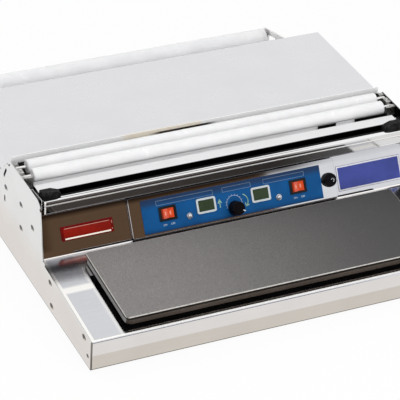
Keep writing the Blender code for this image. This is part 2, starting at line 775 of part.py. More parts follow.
def rod_block_edge(side):
    """Outline of a rod block: a high outer shoulder that slopes down to its inner end."""
    outer = RAIL_HALF
    shoulder = outer - ROD_BLOCK_SHOULDER
    inner = outer - ROD_BLOCK_LENGTH
    foot = RAIL_TOP_Z - ROD_BLOCK_DEPTH
    top = RAIL_TOP_Z + ROD_BLOCK_RISE
    return [
        (side * outer, foot, 0),
        (side * outer, top, ROD_BLOCK_RADIUS),
        (side * shoulder, top, ROD_BLOCK_RADIUS),
        (side * inner, RAIL_TOP_Z + ROD_BLOCK_INNER_RISE, ROD_BLOCK_RADIUS),
        (side * inner, foot, 0),
    ]


def cutting_rod():
    """The coated rod in the slot and the heat-proof blocks that hold its ends."""
    slot_middle = RAIL_BACK_Y + SLOT_WIDTH / 2
    axis_z = RAIL_TOP_Z - ROD_DROP
    mesh = rod("cutting_rod", ROD_RADIUS, 2 * (RAIL_HALF - SEAT))
    look = material("rod_coating", ROD_BLACK, 0.5)
    piece("cutting_rod", mesh, look, MACHINE, (0, slot_middle, axis_z), ALONG_X)
    middle = RAIL_HALF - ROD_BLOCK_LENGTH / 2
    for name, side in (("left", -1), ("right", 1)):
        mesh = outline("rod_block_" + name, [rounded(rod_block_edge(side), True)], SLOT_WIDTH - 2 * SEAT)
        holder = piece("rod_block_" + name, mesh, black_paint(), MACHINE, (0, slot_middle, 0), FACE_TURN)
        bore = rod("rod_bore", ROD_RADIUS + SEAT, ROD_BLOCK_LENGTH + 2 * OVERRUN)
        cut(holder, cutter("rod_bore_" + name, bore, MACHINE, (side * middle, slot_middle, axis_z), ALONG_X))


def end_plates():
    """The plates at the rail's ends, each held off its side plate by two studs."""
    front = FASCIA_TOP_Y + PANEL_SHEET + SEAT
    back = FILM_PLATE_BACK_Y
    foot = RAIL_TOP_Z - END_PLATE_DEPTH
    edge = [Vector((front, foot)), Vector((back, foot)),
            Vector((back, RAIL_TOP_Z - END_PLATE_BACK_DROP)), Vector((front, RAIL_TOP_Z - END_PLATE_FRONT_DROP))]
    stud_z = (foot + RAIL_TOP_Z) / 2
    reach = END_SPACE - SEAT + END_PLATE_SHEET / 2
    for name, side in (("left", -1), ("right", 1)):
        mesh = outline("end_plate_" + name, [edge], END_PLATE_SHEET)
        middle = END_PLATE_OUTER - END_PLATE_SHEET / 2
        plate = piece("end_plate_" + name, mesh, dull_steel(), MACHINE, (side * middle, 0, 0), SIDE_TURN)
        for number, share in enumerate(END_STUD_SHARES):
            stud_y = front + (back - front) * share
            stud_x = side * (middle + reach / 2)
            stud = cutter(f"stud_{name}_{number}", rod("stud", END_STUD_RADIUS, reach), MACHINE,
                          (stud_x, stud_y, stud_z), ALONG_X)
            join(plate, stud)


def notch(axis_y, axis_z, top):
    """Points of an open notch, from its wide right lip down round and up to its left lip."""
    radius = AXLE_RADIUS + SEAT
    turns = [-math.pi * step / CORNER_STEPS for step in range(CORNER_STEPS + 1)]
    bowl = [Vector((axis_y + radius * math.cos(t), axis_z + radius * math.sin(t))) for t in turns]
    return [Vector((axis_y + NOTCH_MOUTH / 2, top)), *bowl, Vector((axis_y - NOTCH_MOUTH / 2, top))]


def roller_brackets():
    """The notched brackets on the side plates that carry the roller axles, flanged in front."""
    top = SIDE_TOP_Z - SIDE_EDGE_UPSTAND
    foot = FRONT_ROLLER_Z - BRACKET_DEPTH
    flange_y = FRONT_ROLLER_Y - BRACKET_MARGIN + BRACKET_FLANGE / 2
    back = REAR_ROLLER_Y + BRACKET_MARGIN
    edge = [Vector((flange_y, foot)), Vector((back, foot)), Vector((back, top))]
    edge += notch(REAR_ROLLER_Y, REAR_ROLLER_Z, top)
    edge += notch(FRONT_ROLLER_Y, FRONT_ROLLER_Z, top)
    edge.append(Vector((flange_y, top)))
    middle = PANEL_HALF - BRACKET_THICKNESS / 2
    size = (BRACKET_FLANGE_WIDTH - SEAT, BRACKET_FLANGE, top - foot - 2 * SEAT)
    flange_x = PANEL_HALF - SEAT - size[0] / 2
    look = material("bracket_steel", STEEL_DARK, 0.4, 1.0)
    for name, side in (("left", -1), ("right", 1)):
        mesh = outline("roller_bracket_" + name, [edge], BRACKET_THICKNESS)
        bracket = piece("roller_bracket_" + name, mesh, look, MACHINE, (side * middle, 0, 0), SIDE_TURN)
        flange_at = (side * flange_x, flange_y, foot + SEAT)
        join(bracket, cutter("bracket_flange_" + name, block("bracket_flange", size), MACHINE, flange_at))


def sleeve_profile(radius, half, bore, chamfer):
    """Profile of a round sleeve with a bore and eased ends."""
    return [
        (radius - chamfer, half),
        (radius, half - chamfer),
        (radius, -half + chamfer),
        (radius - chamfer, -half),
        (bore, -half),
        (bore, half),
    ]


def rollers():
    """The two film rollers, each a white sleeve on a steel axle."""
    places = (("front", FRONT_ROLLER_Y, FRONT_ROLLER_Z), ("rear", REAR_ROLLER_Y, REAR_ROLLER_Z))
    profile = sleeve_profile(ROLLER_RADIUS, ROLLER_HALF, AXLE_RADIUS + SEAT, ROLLER_END_CHAMFER)
    axle_length = 2 * (PANEL_HALF - AXLE_END_SPACE)
    for name, depth, height in places:
        turned("roller_" + name, profile, white_plastic(), MACHINE, (0, depth, height), ALONG_X,
               ROUND_STEPS, True)
        axle = rod("roller_axle_" + name, AXLE_RADIUS, axle_length)
        piece("roller_axle_" + name, axle, chrome(), MACHINE, (0, depth, height), ALONG_X)


def partition():
    """The upright sheet behind the electrics."""
    top = SIDE_TOP_Z - SHELF_DROP - PARTITION_DROP
    size = (2 * PANEL_HALF, PANEL_SHEET, top - BOTTOM_SHEET - SEAT)
    mesh = block("partition", size)
    middle = PARTITION_Y + PANEL_SHEET / 2
    piece("partition", mesh, dull_steel(), MACHINE, (0, middle, BOTTOM_SHEET + SEAT))


def shelf_flange_edge():
    """Outline of a side flange of the shelf, cut back at its front corner."""
    start = LIP_Y + SHELF_CORNER_RUN
    top = SHELF_TOP_Z - PANEL_SHEET / 2
    foot = SHELF_TOP_Z - SHELF_FLANGE
    back = SHELF_BACK_Y - PANEL_SHEET - SEAT
    return [Vector((start, top)), Vector((start + SHELF_FLANGE - PANEL_SHEET, foot)),
            Vector((back, foot)), Vector((back, top))]


def shelf():
    """The top shelf with its upright lip, folded back edge and side flanges."""
    back_foot = SHELF_TOP_Z - SHELF_BACK_FLANGE
    corners = [
        (LIP_Y + PANEL_SHEET, SHELF_TOP_Z + LIP_HEIGHT, 0),
        (LIP_Y + PANEL_SHEET, SHELF_TOP_Z, LIP_RADIUS),
        (SHELF_BACK_Y, SHELF_TOP_Z, BEND_RADIUS),
        (SHELF_BACK_Y, back_foot, 0),
    ]
    look = material("shelf_steel", PALE_STEEL, 0.5, 0.6)
    top = folded_sheet("shelf", corners, SHELF_HALF, PANEL_SHEET, (0, 1, 0), look, MACHINE)
    for name, side in (("left", -1), ("right", 1)):
        mesh = outline("shelf_flange_" + name, [shelf_flange_edge()], PANEL_SHEET)
        place_x = side * (SHELF_HALF - PANEL_SHEET / 2)
        join(top, cutter("shelf_flange_" + name, mesh, MACHINE, (place_x, 0, 0), SIDE_TURN))
        relief = (2 * LIP_CORNER, 2 * OVERRUN + PANEL_SHEET, LIP_HEIGHT)
        relief_at = (side * SHELF_HALF, LIP_Y + PANEL_SHEET / 2, SHELF_TOP_Z + SEAT)
        cut(top, cutter("lip_relief_" + name, block("lip_relief", relief), MACHINE, relief_at))


def rear_wall():
    """The low rear wall with its inward fold, below the film's way in."""
    corners = [
        (SHELF_BACK_Y, 0, 0),
        (SHELF_BACK_Y, REAR_WALL_HEIGHT, BEND_RADIUS),
        (SHELF_BACK_Y - REAR_WALL_FOLD, REAR_WALL_HEIGHT, 0),
    ]
    folded_sheet("rear_wall", corners, PANEL_HALF, PANEL_SHEET, (0, 1, 0), polished_steel(), MACHINE)


def arm_edge():
    """Outline of a film arm: a root on the rear wall, a strap and an eye for each tube."""
    front = SHELF_BACK_Y + SEAT
    tip_y = REAR_TUBE_Y + ARM_TIP_REACH
    tip_z = TUBE_Z + ARM_TIP_RISE + ARM_STRAP / 2
    root_top = tip_z + ARM_SLOPE_SHARE * (tip_y - front)
    strap_at_front_eye = tip_z + ARM_SLOPE_SHARE * (tip_y - FRONT_TUBE_Y - ARM_EYE_RADIUS) - ARM_STRAP
    strap_at_rear_eye = tip_z + ARM_SLOPE_SHARE * (tip_y - REAR_TUBE_Y + ARM_EYE_RADIUS) - ARM_STRAP
    root_foot = REAR_WALL_HEIGHT - ARM_FOOT_DROP - ARM_FOOT_HEIGHT
    return [
        (front, root_foot, 0),
        (front, root_top, 0),
        (tip_y, tip_z, ARM_TIP_RADIUS),
        (tip_y, TUBE_Z - ARM_EYE_RADIUS, ARM_CORNER_RADIUS),
        (REAR_TUBE_Y - ARM_EYE_RADIUS, TUBE_Z - ARM_EYE_RADIUS, ARM_CORNER_RADIUS),
        (REAR_TUBE_Y - ARM_EYE_RADIUS, strap_at_rear_eye, 0),
        (FRONT_TUBE_Y + ARM_EYE_RADIUS, strap_at_front_eye, 0),
        (FRONT_TUBE_Y + ARM_EYE_RADIUS, TUBE_Z - ARM_EYE_RADIUS, ARM_CORNER_RADIUS),
        (FRONT_TUBE_Y - ARM_EYE_RADIUS, TUBE_Z - ARM_EYE_RADIUS, 0),
    ]


def film_arms():
    """The two arms behind the rear wall that carry the film tubes."""
    edge = rounded(arm_edge(), True)
    hole = TUBE_AXLE_RADIUS + SEAT
    holes = [circle_points(FRONT_TUBE_Y, TUBE_Z, hole), circle_points(REAR_TUBE_Y, TUBE_Z, hole)]
    middle = TUBE_HALF_LENGTH + ARM_END_SPACE + ARM_SHEET / 2
    foot_z = REAR_WALL_HEIGHT - ARM_FOOT_DROP - ARM_FOOT_HEIGHT
    foot_y = SHELF_BACK_Y + SEAT + ARM_SHEET / 2
    for name, side in (("left", -1), ("right", 1)):
        mesh = outline("film_arm_" + name, [edge, *holes], ARM_SHEET)
        arm = piece("film_arm_" + name, mesh, chrome(), MACHINE, (side * middle, 0, 0), SIDE_TURN)
        size = (ARM_FOOT_WIDTH, ARM_SHEET, ARM_FOOT_HEIGHT - SEAT)
        foot_at = (side * (middle - ARM_SHEET / 2 + ARM_FOOT_WIDTH / 2 - SEAT), foot_y, foot_z)
        join(arm, cutter("arm_foot_" + name, block("arm_foot", size), MACHINE, foot_at))


def tube_profile():
    """Profile of a film tube with a grooved cap at each end."""
    half = TUBE_HALF_LENGTH
    seam = half - TUBE_CAP_LENGTH
    low = TUBE_RADIUS - TUBE_GROOVE
    bore = TUBE_AXLE_RADIUS + SEAT
    return [
        (low, half),
        (TUBE_RADIUS, half - TUBE_GROOVE),
        (TUBE_RADIUS, seam + TUBE_GROOVE),
        (low, seam),
        (TUBE_RADIUS, seam - TUBE_GROOVE),
        (TUBE_RADIUS, -seam + TUBE_GROOVE),
        (low, -seam),
        (TUBE_RADIUS, -seam - TUBE_GROOVE),
        (TUBE_RADIUS, -half + TUBE_GROOVE),
        (low, -half),
        (bore, -half),
        (bore, half),
    ]


def film_tubes():
    """The two white tubes on which the film roll turns, each on its axle."""
    length = 2 * (TUBE_HALF_LENGTH + ARM_END_SPACE + ARM_SHEET + AXLE_HEAD)
    for name, depth in (("front", FRONT_TUBE_Y), ("rear", REAR_TUBE_Y)):
        turned("film_tube_" + name, tube_profile(), white_plastic(), MACHINE, (0, depth, TUBE_Z), ALONG_X,
               ROUND_STEPS, True)
        axle = rod("tube_axle_" + name, TUBE_AXLE_RADIUS, length)
        piece("tube_axle_" + name, axle, dull_steel(), MACHINE, (0, depth, TUBE_Z), ALONG_X)


def feet():
    """Four low rubber feet."""
    look = material("rubber", RUBBER_BLACK, 0.8)
    across = WIDTH / 2 - FOOT_SIDE_INSET
    rear = SHELF_BACK_Y - FOOT_END_INSET
    profile = [(0, -SEAT), (FOOT_RADIUS, -SEAT), (FOOT_RADIUS - FOOT_TAPER, -FOOT_HEIGHT), (0, -FOOT_HEIGHT)]
    for row, depth in (("front", FOOT_END_INSET), ("rear", rear)):
        for name, side in (("left", -1), ("right", 1)):
            turned(f"foot_{row}_{name}", profile, look, MACHINE, (side * across, depth, 0), (0, 0, 0))


def cable_gland():
    """The gland in the rear wall where the supply cable goes in."""
    profile = [
        (0, GLAND_LENGTH - GLAND_BORE_DEPTH),
        (GLAND_BORE, GLAND_LENGTH - GLAND_BORE_DEPTH),
        (GLAND_BORE, GLAND_LENGTH),
        (GLAND_NECK_RADIUS, GLAND_LENGTH),
        (GLAND_RADIUS, GLAND_FLANGE),
        (GLAND_RADIUS, 0),
        (0, 0),
    ]
    turned("cable_gland", profile, black_plastic(), MACHINE,
           (GLAND_X, SHELF_BACK_Y + SEAT, GLAND_HEIGHT), ALONG_BACK)


def face_holes(prefix):
    """Cutters for what goes through the control box and the fascia sheet."""
    deep = BOX_STAND + PANEL_SHEET + 2 * OVERRUN
    out = BOX_STAND + OVERRUN
    holes = []
    for name, side in (("left", -1), ("right", 1)):
        holes.append(box_on_face(f"{prefix}_switch_{name}", SWITCH_BODY_WIDTH + 2 * SEAT,
                                 SWITCH_BODY_HEIGHT + 2 * SEAT, out, deep, side * SWITCH_X, SWITCH_HEIGHT))
    holes.append(bore_on_face(f"{prefix}_shaft", SHAFT_RADIUS + SHAFT_CLEARANCE, out, deep,
                              KNOB_X, KNOB_HEIGHT_ON_FACE))
    holes.append(bore_on_face(f"{prefix}_fuse", FUSE_BODY_RADIUS + SEAT, out, deep,
                              FUSE_X, FUSE_HEIGHT_ON_FACE))
    return holes


def control_box(holes):
    """The raised box on the middle of the fascia."""
    size = (BOX_LEFT + BOX_RIGHT, BOX_HEIGHT, BOX_STAND - SEAT)
    mesh = block("control_box", size, BOX_RADIUS, BOX_EDGE)
    up = BOX_FOOT + BOX_HEIGHT / 2
    across = (BOX_RIGHT - BOX_LEFT) / 2
    box = piece("control_box", mesh, polished_steel(), FASCIA, on_face(across, up, SEAT), FACE_TURN)
    cut(box, *holes)


def overlay():
    """The printed sheet on the control box, with its holes for the switches and the knob."""
    middle = OVERLAY_FOOT + OVERLAY_HEIGHT / 2 + BOX_FOOT
    edge = box_points(OVERLAY_WIDTH, OVERLAY_HEIGHT, OVERLAY_RADIUS)
    window = box_points(SWITCH_BODY_WIDTH + 2 * SEAT, SWITCH_BODY_HEIGHT + 2 * SEAT)
    shaft = circle_points(KNOB_X, KNOB_HEIGHT_ON_FACE - middle, SHAFT_RADIUS + SHAFT_CLEARANCE)
    lift = SWITCH_HEIGHT - middle
    loops = [edge, shifted(window, -SWITCH_X, lift), shifted(window, SWITCH_X, lift), shaft]
    look = material("overlay_blue", OVERLAY_BLUE, 0.35)
    mesh = outline("overlay", loops, OVERLAY_SHEET)
    piece("overlay", mesh, look, FASCIA, on_face(0, middle, FACE_OUT + OVERLAY_SHEET / 2), FACE_TURN)


def rocker_edge():
    """Outline of a rocker about its pivot: round ends and a shallow valley on top."""
    span = ROCKER_TOP_ANGLE - ROCKER_LOW_ANGLE
    shares = [step / CORNER_STEPS for step in range(CORNER_STEPS + 1)]
    right = [ROCKER_TOP_ANGLE - span * share for share in shares]
    left = [math.pi - angle for angle in reversed(right)]
    points = [ROCKER_RADIUS * Vector((math.cos(a), math.sin(a))) for a in right + left]
    return points + [Vector((0, ROCKER_VALLEY))]


def switch_housing(name, side):
    """A switch's bezel and body with the well that its rocker turns in."""
    at = side * SWITCH_X
    base = CONTROL_OUT
    mesh = block("switch_bezel", (BEZEL_WIDTH, BEZEL_HEIGHT, BEZEL_THICKNESS), BEZEL_RADIUS, BEZEL_EDGE)
    housing = piece("switch_housing_" + name, mesh, black_plastic(), FASCIA,
                    on_face(at, SWITCH_HEIGHT, base), FACE_TURN)
    body = box_on_face("switch_body_" + name, SWITCH_BODY_WIDTH, SWITCH_BODY_HEIGHT,
                       base + BEZEL_THICKNESS / 2, BODY_LENGTH, at, SWITCH_HEIGHT)
    top = base + BEZEL_THICKNESS
    cavity = box_on_face("switch_cavity_" + name, CAVITY_WIDTH, CAVITY_HEIGHT,
                         top + OVERRUN, CAVITY_DEPTH + OVERRUN, at, SWITCH_HEIGHT)
    pin_hole = rod("pin_hole", ROCKER_PIN_RADIUS + SEAT, CAVITY_HEIGHT + 2 * (ROCKER_PIN_REACH + SEAT))
    pins = cutter("pin_hole_" + name, pin_hole, FASCIA, on_face(at, SWITCH_HEIGHT, top - ROCKER_PIVOT_DEPTH))
    join(housing, body)
    cut(housing, cavity, pins)


def rocker(name, side):
    """A rocker at its off position, with its origin on its pivot."""
    at = side * SWITCH_X
    pivot = CONTROL_OUT + BEZEL_THICKNESS - ROCKER_PIVOT_DEPTH
    height = CAVITY_HEIGHT - 2 * ROCKER_CLEARANCE
    mesh = outline("rocker_" + name, [rocker_edge()], height)
    look = material("rocker_red", LAMP_RED, 0.25)
    turn = (ROCKER_TURN[0], ROCKER_TURN[1], ROCKER_TILT)
    thing = piece("rocker_" + name, mesh, look, FASCIA, on_face(at, SWITCH_HEIGHT, pivot), turn)
    pin = rod("rocker_pin", ROCKER_PIN_RADIUS, height + 2 * (ROCKER_PIN_REACH + ROCKER_CLEARANCE / 2))
    join(thing, cutter("rocker_pin_" + name, pin, FASCIA, on_face(at, SWITCH_HEIGHT, pivot)))


def windows():
    """The two display windows, each a frame and a lens."""
    frame_look = white_plastic()
    lens_look = material("window_green", LENS_GREEN, 0.2)
    outer = box_points(WINDOW_WIDTH, WINDOW_TALL, WINDOW_RADIUS)
    inner_width = WINDOW_WIDTH - 2 * WINDOW_FRAME
    inner_tall = WINDOW_TALL - 2 * WINDOW_FRAME
    inner = box_points(inner_width, inner_tall, WINDOW_INNER_RADIUS)
    lens_size = (inner_width - 2 * SEAT, inner_tall - 2 * SEAT, LENS_THICKNESS)
    for name, side in (("left", -1), ("right", 1)):
        at = side * WINDOW_X
        ring = outline("window_frame_" + name, [outer, inner], WINDOW_THICKNESS)
        piece("window_frame_" + name, ring, frame_look, FASCIA,
              on_face(at, WINDOW_HEIGHT, CONTROL_OUT + WINDOW_THICKNESS / 2), FACE_TURN)
        lens = block("window_lens_" + name, lens_size, LENS_RADIUS)
        piece("window_lens_" + name, lens, lens_look, FASCIA,
              on_face(at, WINDOW_HEIGHT, CONTROL_OUT), FACE_TURN)


def pilot_lamps():
    """Two small domed lamps in bright collars."""
    steps = [math.pi / 2 * (1 - step / CORNER_STEPS) for step in range(CORNER_STEPS + 1)]
    dome_radius = LAMP_RADIUS - LAMP_FLANGE
    dome = [(dome_radius * math.cos(a), LAMP_FLANGE + (LAMP_DOME - LAMP_FLANGE) * math.sin(a)) for a in steps]
    dome[0] = (0, LAMP_DOME)
    profile = dome + [(LAMP_RADIUS, LAMP_FLANGE), (LAMP_RADIUS, 0), (0, 0)]
    for name, side in (("left", -1), ("right", 1)):
        turned("pilot_lamp_" + name, profile, chrome(), FASCIA,
               on_face(side * LAMP_X, LAMP_HEIGHT, CONTROL_OUT), FACE_TURN)


def knob():
    """The fluted temperature knob with its shaft, its origin on its axis."""
    base = CONTROL_OUT + KNOB_LIFT
    foot = -base - SHAFT_REACH
    profile = [
        (0, KNOB_LENGTH),
        (KNOB_TOP_RADIUS - KNOB_EDGE, KNOB_LENGTH),
        (KNOB_TOP_RADIUS, KNOB_LENGTH - KNOB_EDGE),
        (KNOB_RADIUS, 0),
        (SHAFT_RADIUS, 0),
        (SHAFT_RADIUS, foot),
        (0, foot),
    ]
    thing = turned("knob", profile, black_plastic(), FASCIA,
                   on_face(KNOB_X, KNOB_HEIGHT_ON_FACE, base), FACE_TURN, ROUND_STEPS)
    ring = KNOB_RADIUS + KNOB_FLUTE_RADIUS - KNOB_FLUTE_DEPTH
    for number in range(KNOB_FLUTES):
        angle = 2 * math.pi * number / KNOB_FLUTES
        across = KNOB_X + ring * math.sin(angle)
        up = KNOB_HEIGHT_ON_FACE + ring * math.cos(angle)
        cut(thing, bore_on_face(f"knob_flute_{number}", KNOB_FLUTE_RADIUS,
                                base + KNOB_LENGTH + OVERRUN, KNOB_LENGTH + OVERRUN - KNOB_EDGE, across, up))


def thermostat():
    """The thermostat behind the fascia, bored for the knob's shaft."""
    top = -PANEL_SHEET - SEAT
    bore = SHAFT_RADIUS + SEAT
    profile = [
        (bore, 0),
        (THERMOSTAT_RADIUS, 0),
        (THERMOSTAT_RADIUS, -THERMOSTAT_LENGTH),
        (0, -THERMOSTAT_LENGTH),
        (0, -THERMOSTAT_BORE_DEPTH),
        (bore, -THERMOSTAT_BORE_DEPTH),
        (bore, 0),
    ]
    turned("thermostat", profile, dull_steel(), FASCIA,
           on_face(KNOB_X, KNOB_HEIGHT_ON_FACE, top), FACE_TURN)


def fuse_holder():
    """The fuse holder with its bore, the carrier that slides in it and the screw cap."""
    length = FUSE_BODY_LENGTH
    profile = [
        (FUSE_BORE_RADIUS, FUSE_FLANGE),
        (FUSE_FLANGE_RADIUS, FUSE_FLANGE),
        (FUSE_FLANGE_RADIUS, 0),
        (FUSE_BODY_RADIUS, 0),
        (FUSE_BODY_RADIUS, -length),
        (0, -length),
        (0, FUSE_FLANGE - FUSE_BORE_DEPTH),
        (FUSE_BORE_RADIUS, FUSE_FLANGE - FUSE_BORE_DEPTH),
        (FUSE_BORE_RADIUS, FUSE_FLANGE),
    ]
    turned("fuse_holder", profile, black_plastic(), FASCIA,
           on_face(FUSE_X, FUSE_HEIGHT_ON_FACE, FUSE_BODY_OUT), FACE_TURN)
    carrier = rod("fuse_carrier", FUSE_CARRIER_RADIUS, FUSE_CARRIER_LENGTH)
    carrier_look = material("fuse_brass", BRASS, 0.3, 1.0)
    piece("fuse_carrier", carrier, carrier_look, FASCIA,
          on_face(FUSE_X, FUSE_HEIGHT_ON_FACE, FUSE_CARRIER_OUT - FUSE_CARRIER_LENGTH / 2), FACE_TURN)
    cap = block_cap()
    thing = piece("fuse_cap", cap, black_plastic(), FASCIA,
                  on_face(FUSE_X, FUSE_HEIGHT_ON_FACE, FUSE_CAP_OUT), FACE_TURN)
    slot_out = FUSE_CAP_OUT + FUSE_CAP_LENGTH + OVERRUN
    cut(thing, box_on_face("fuse_cap_slot", 2 * FUSE_CAP_RADIUS + 2 * OVERRUN, FUSE_SLOT_WIDTH, slot_out,
                           OVERRUN + FUSE_SLOT_DEPTH, FUSE_X, FUSE_HEIGHT_ON_FACE))


def block_cap():
    """A round cap that stands on its origin, with an eased top edge."""
    bm = bmesh.new()
    bmesh.ops.create_cone(bm, cap_ends=True, segments=SMALL_ROUND_STEPS, radius1=FUSE_CAP_RADIUS,
                          radius2=FUSE_CAP_RADIUS, depth=FUSE_CAP_LENGTH)
    bmesh.ops.translate(bm, verts=bm.verts, vec=(0, 0, FUSE_CAP_LENGTH / 2))
    rim = {e for f in top_faces(bm) for e in f.edges}
    bmesh.ops.bevel(bm, geom=list(rim), offset=FUSE_CAP_EDGE, segments=2,
                    affect="EDGES", profile=0.5, material=-1)
    return mesh_from(bm, "fuse_cap")


def build():
    side_plates()
    bottom_plate()
    deck_panel(face_holes("panel"))
    well_tray()
    hot_plate()
    heater()
    rail()
    film_plate()
    cutting_rod()
    end_plates()
    roller_brackets()
    rollers()
    partition()
    shelf()
    rear_wall()
    film_arms()
    film_tubes()
    feet()
    cable_gland()
    control_box(face_holes("box"))
    overlay()
    for name, side in (("left", -1), ("right", 1)):
        switch_housing(name, side)
        rocker(name, side)
    windows()
    pilot_lamps()
    knob()
    thermostat()
    fuse_holder()


build()
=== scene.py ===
"""Looks of a table-top film wrapping machine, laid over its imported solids.

The origin is on the table under the middle of the machine, +X to the right along the rollers,
+Y to the back and +Z up. Sizes are in metres.
"""

import math

import bmesh
import bpy
from mathutils import Matrix, Vector


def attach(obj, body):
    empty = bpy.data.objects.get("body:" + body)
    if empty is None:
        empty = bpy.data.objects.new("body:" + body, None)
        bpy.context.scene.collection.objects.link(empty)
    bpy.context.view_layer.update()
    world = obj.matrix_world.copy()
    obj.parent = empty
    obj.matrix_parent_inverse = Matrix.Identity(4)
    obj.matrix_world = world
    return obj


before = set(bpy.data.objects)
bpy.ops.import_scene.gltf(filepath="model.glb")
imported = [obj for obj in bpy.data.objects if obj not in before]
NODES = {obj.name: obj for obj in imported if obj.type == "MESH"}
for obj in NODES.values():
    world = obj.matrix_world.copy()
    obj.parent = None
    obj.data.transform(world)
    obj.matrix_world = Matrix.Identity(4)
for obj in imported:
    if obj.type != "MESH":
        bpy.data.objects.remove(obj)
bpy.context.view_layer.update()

# Camera, in the photograph's frame of 400 by 400
PICTURE = 400
FOCAL_PIXELS = 2217
SENSOR = 36
CAMERA_AT = (-1.2264694, -2.4421872, 1.7851772)
CAMERA_AZIMUTH = 0.466003
CAMERA_DOWN = 0.572468
CAMERA_ROLL = 0.0628319
CAMERA_REACH = 30

# Places that the solids give
HALF_DEPTH = 0.29975
FOOT = 0.004
FRONT_HEIGHT = 0.044
DECK_DEPTH = 0.182
DECK_RISE = 0.0142
DECK_ANGLE = math.atan2(DECK_RISE, DECK_DEPTH)
DECK_FRONT = (0, -HALF_DEPTH, FRONT_HEIGHT + FOOT)
FASCIA_LEAN = math.radians(29.9)
FASCIA_FOOT = (0, DECK_DEPTH - HALF_DEPTH, FRONT_HEIGHT + DECK_RISE + FOOT)
OVERLAY_OUT = 0.0062
SWITCH_X = 0.102
SWITCH_UP = 0.0295
KNOB_MIDDLE = Vector((0.0004, 0.0170))
KNOB_TOP = 0.0210
CAP_TOP = 0.0121

# Small steps between sheets, and the distance under which points are one
PRINT_SHEET = 0.00006
LIFT = 0.00004
MERGE = 0.000002

# Eased edges of the solids
EASE = 0.0003
FLAT_ANGLE = math.radians(0.5)
EASED_ANGLE = math.radians(30)
SHARP_ANGLE = math.radians(35)

# Badge on the left of the fascia: middles are across and up, sizes are width, height, thickness
BADGE_MIDDLE = (-0.221, 0.0295)
BADGE_SIZE = (0.078, 0.0205, 0.0011)
BADGE_CORNER = 0.0022
BADGE_EDGE = 0.0007
FIELD_MIDDLE = (-0.221, 0.0290)
FIELD_SIZE = (0.0705, 0.0150, 0.0003)
FIELD_CORNER = 0.0010
FIELD_EDGE = 0.0002
# Painted highlights on the badge: pale lines along its top and foot and short glints at its right
# end
GLINT_OUT = 0.0012 + LIFT
GLINT_SHEET = 0.0003
GLINT_LEFT = -0.2540
GLINT_RIGHT = -0.1880
GLINT_TOP = 0.0361
GLINT_TOP_WIDTH = 0.0008
GLINT_FOOT = 0.0219
GLINT_FOOT_WIDTH = 0.0021
GLINT_END = ((-0.1842, 0.0320), (-0.1842, 0.0350))
GLINT_DOT = ((-0.1846, 0.0240), (-0.1846, 0.0246))
GLINT_DOT_WIDTH = 0.0010

# Label on the right of the fascia: each sheet's width, height, thickness and corner
LABEL_MIDDLE = (0.22075, 0.0268)
LABEL_EDGE_SHEET = (0.1045, 0.0366, 0.0002, 0.0006)
LABEL_BORDER_SHEET = (0.1036, 0.0357, 0.0001, 0.0005)
LABEL_FACE_SHEET = (0.0995, 0.0316, 0.0001, 0.0004)

# Rolled line of the rail, and the two legs of the film plate's fold as size and middle
CREASE_SIZE = (0.5615, 0.0006, 0.0012)
CREASE_MIDDLE = (0, -0.09374, 0.1322)
FLANGE_WIDTH = 0.5560
FLANGE_WEB = ((FLANGE_WIDTH, 0.0066, 0.0005), (0, -0.0474, 0.1357))
FLANGE_LEG = ((FLANGE_WIDTH, 0.0005, 0.0058), (0, -0.0441, 0.1384))

# Painted glint on the fuse cap: an arc of pale strokes round its dimple
CAP_GLINT_MIDDLE = Vector((0.1556, 0.0288))
CAP_GLINT_RADIUS = 0.0023
CAP_GLINT_WIDTH = 0.0010
CAP_GLINT_SHEET = 0.0002
CAP_GLINT_DEGREES = range(150, -90, -20)

# Print on the overlay: ruled boxes, the knob's scale, arrows and words
BOX_SPANS = ((-0.117, -0.030), (-0.015, 0.029), (0.0495, 0.114))
BOX_FOOT = 0.0425
BOX_HEAD = 0.0488
BOX_LINE = 0.0005
SCALE_MIDDLE = Vector((0.0004, 0.0235))
SCALE_RADIUS = 0.0118
SCALE_TICK_END = 0.0134
SCALE_LINE = 0.0004
SCALE_START = -20
SCALE_SWEEP = 220
SCALE_STEPS = 28
TICK_STEP = 20
TICKS = 12
ARROW_LINE = 0.0012
BARB_LINE = 0.0013
ARROW_X = -0.0215
ARROW_FOOT = 0.0225
ARROW_HEAD = 0.0320
ARROW_TIP = 0.0330
BARB_ASIDE = 0.0025
BARB_FOOT = 0.0285
BEND_MIDDLE = Vector((0.0095, 0.0245))
BEND_RADII = Vector((0.0125, 0.0110))
BEND_DEGREES = range(60, -50, -15)
BEND_BARBS = (Vector((0.0042, 0.0016)), Vector((-0.0010, 0.0046)))
WORD_HEIGHT = 0.0036
WORD_UP = 0.0135
WORD_ASIDE = 0.006

# White line on the knob, from its middle
POINTER_START = Vector((0.0062, -0.0035))
POINTER_END = Vector((0.0088, -0.0048))
POINTER_WIDTH = 0.0013
POINTER_SHEET = 0.0002
POINTER_SINK = 0.0001

# Screws and holes of the side plates: depth from the front, height over the feet, radius
SIDE_SCREWS = (
    (0.317, 0.096, 0.0044), (0.258, 0.103, 0.0044), (0.257, 0.065, 0.0044),
    (0.214, 0.092, 0.0044), (0.146, 0.045, 0.0044), (0.139, 0.011, 0.0044),
    (0.024, 0.038, 0.0044), (0.010, 0.017, 0.0030), (0.333, 0.130, 0.0014),
    (0.315, 0.140, 0.0012),
)
SCREW_SQUASH = 0.7
SCREW_EDGE = 0.0005
# Painted glints on the screws, offset from each hole
SCREW_GLINT_ASIDE = 0.0014
SCREW_GLINT_DOWN = 0.0026
SCREW_GLINT_SHARES = (0.20, 0.40)
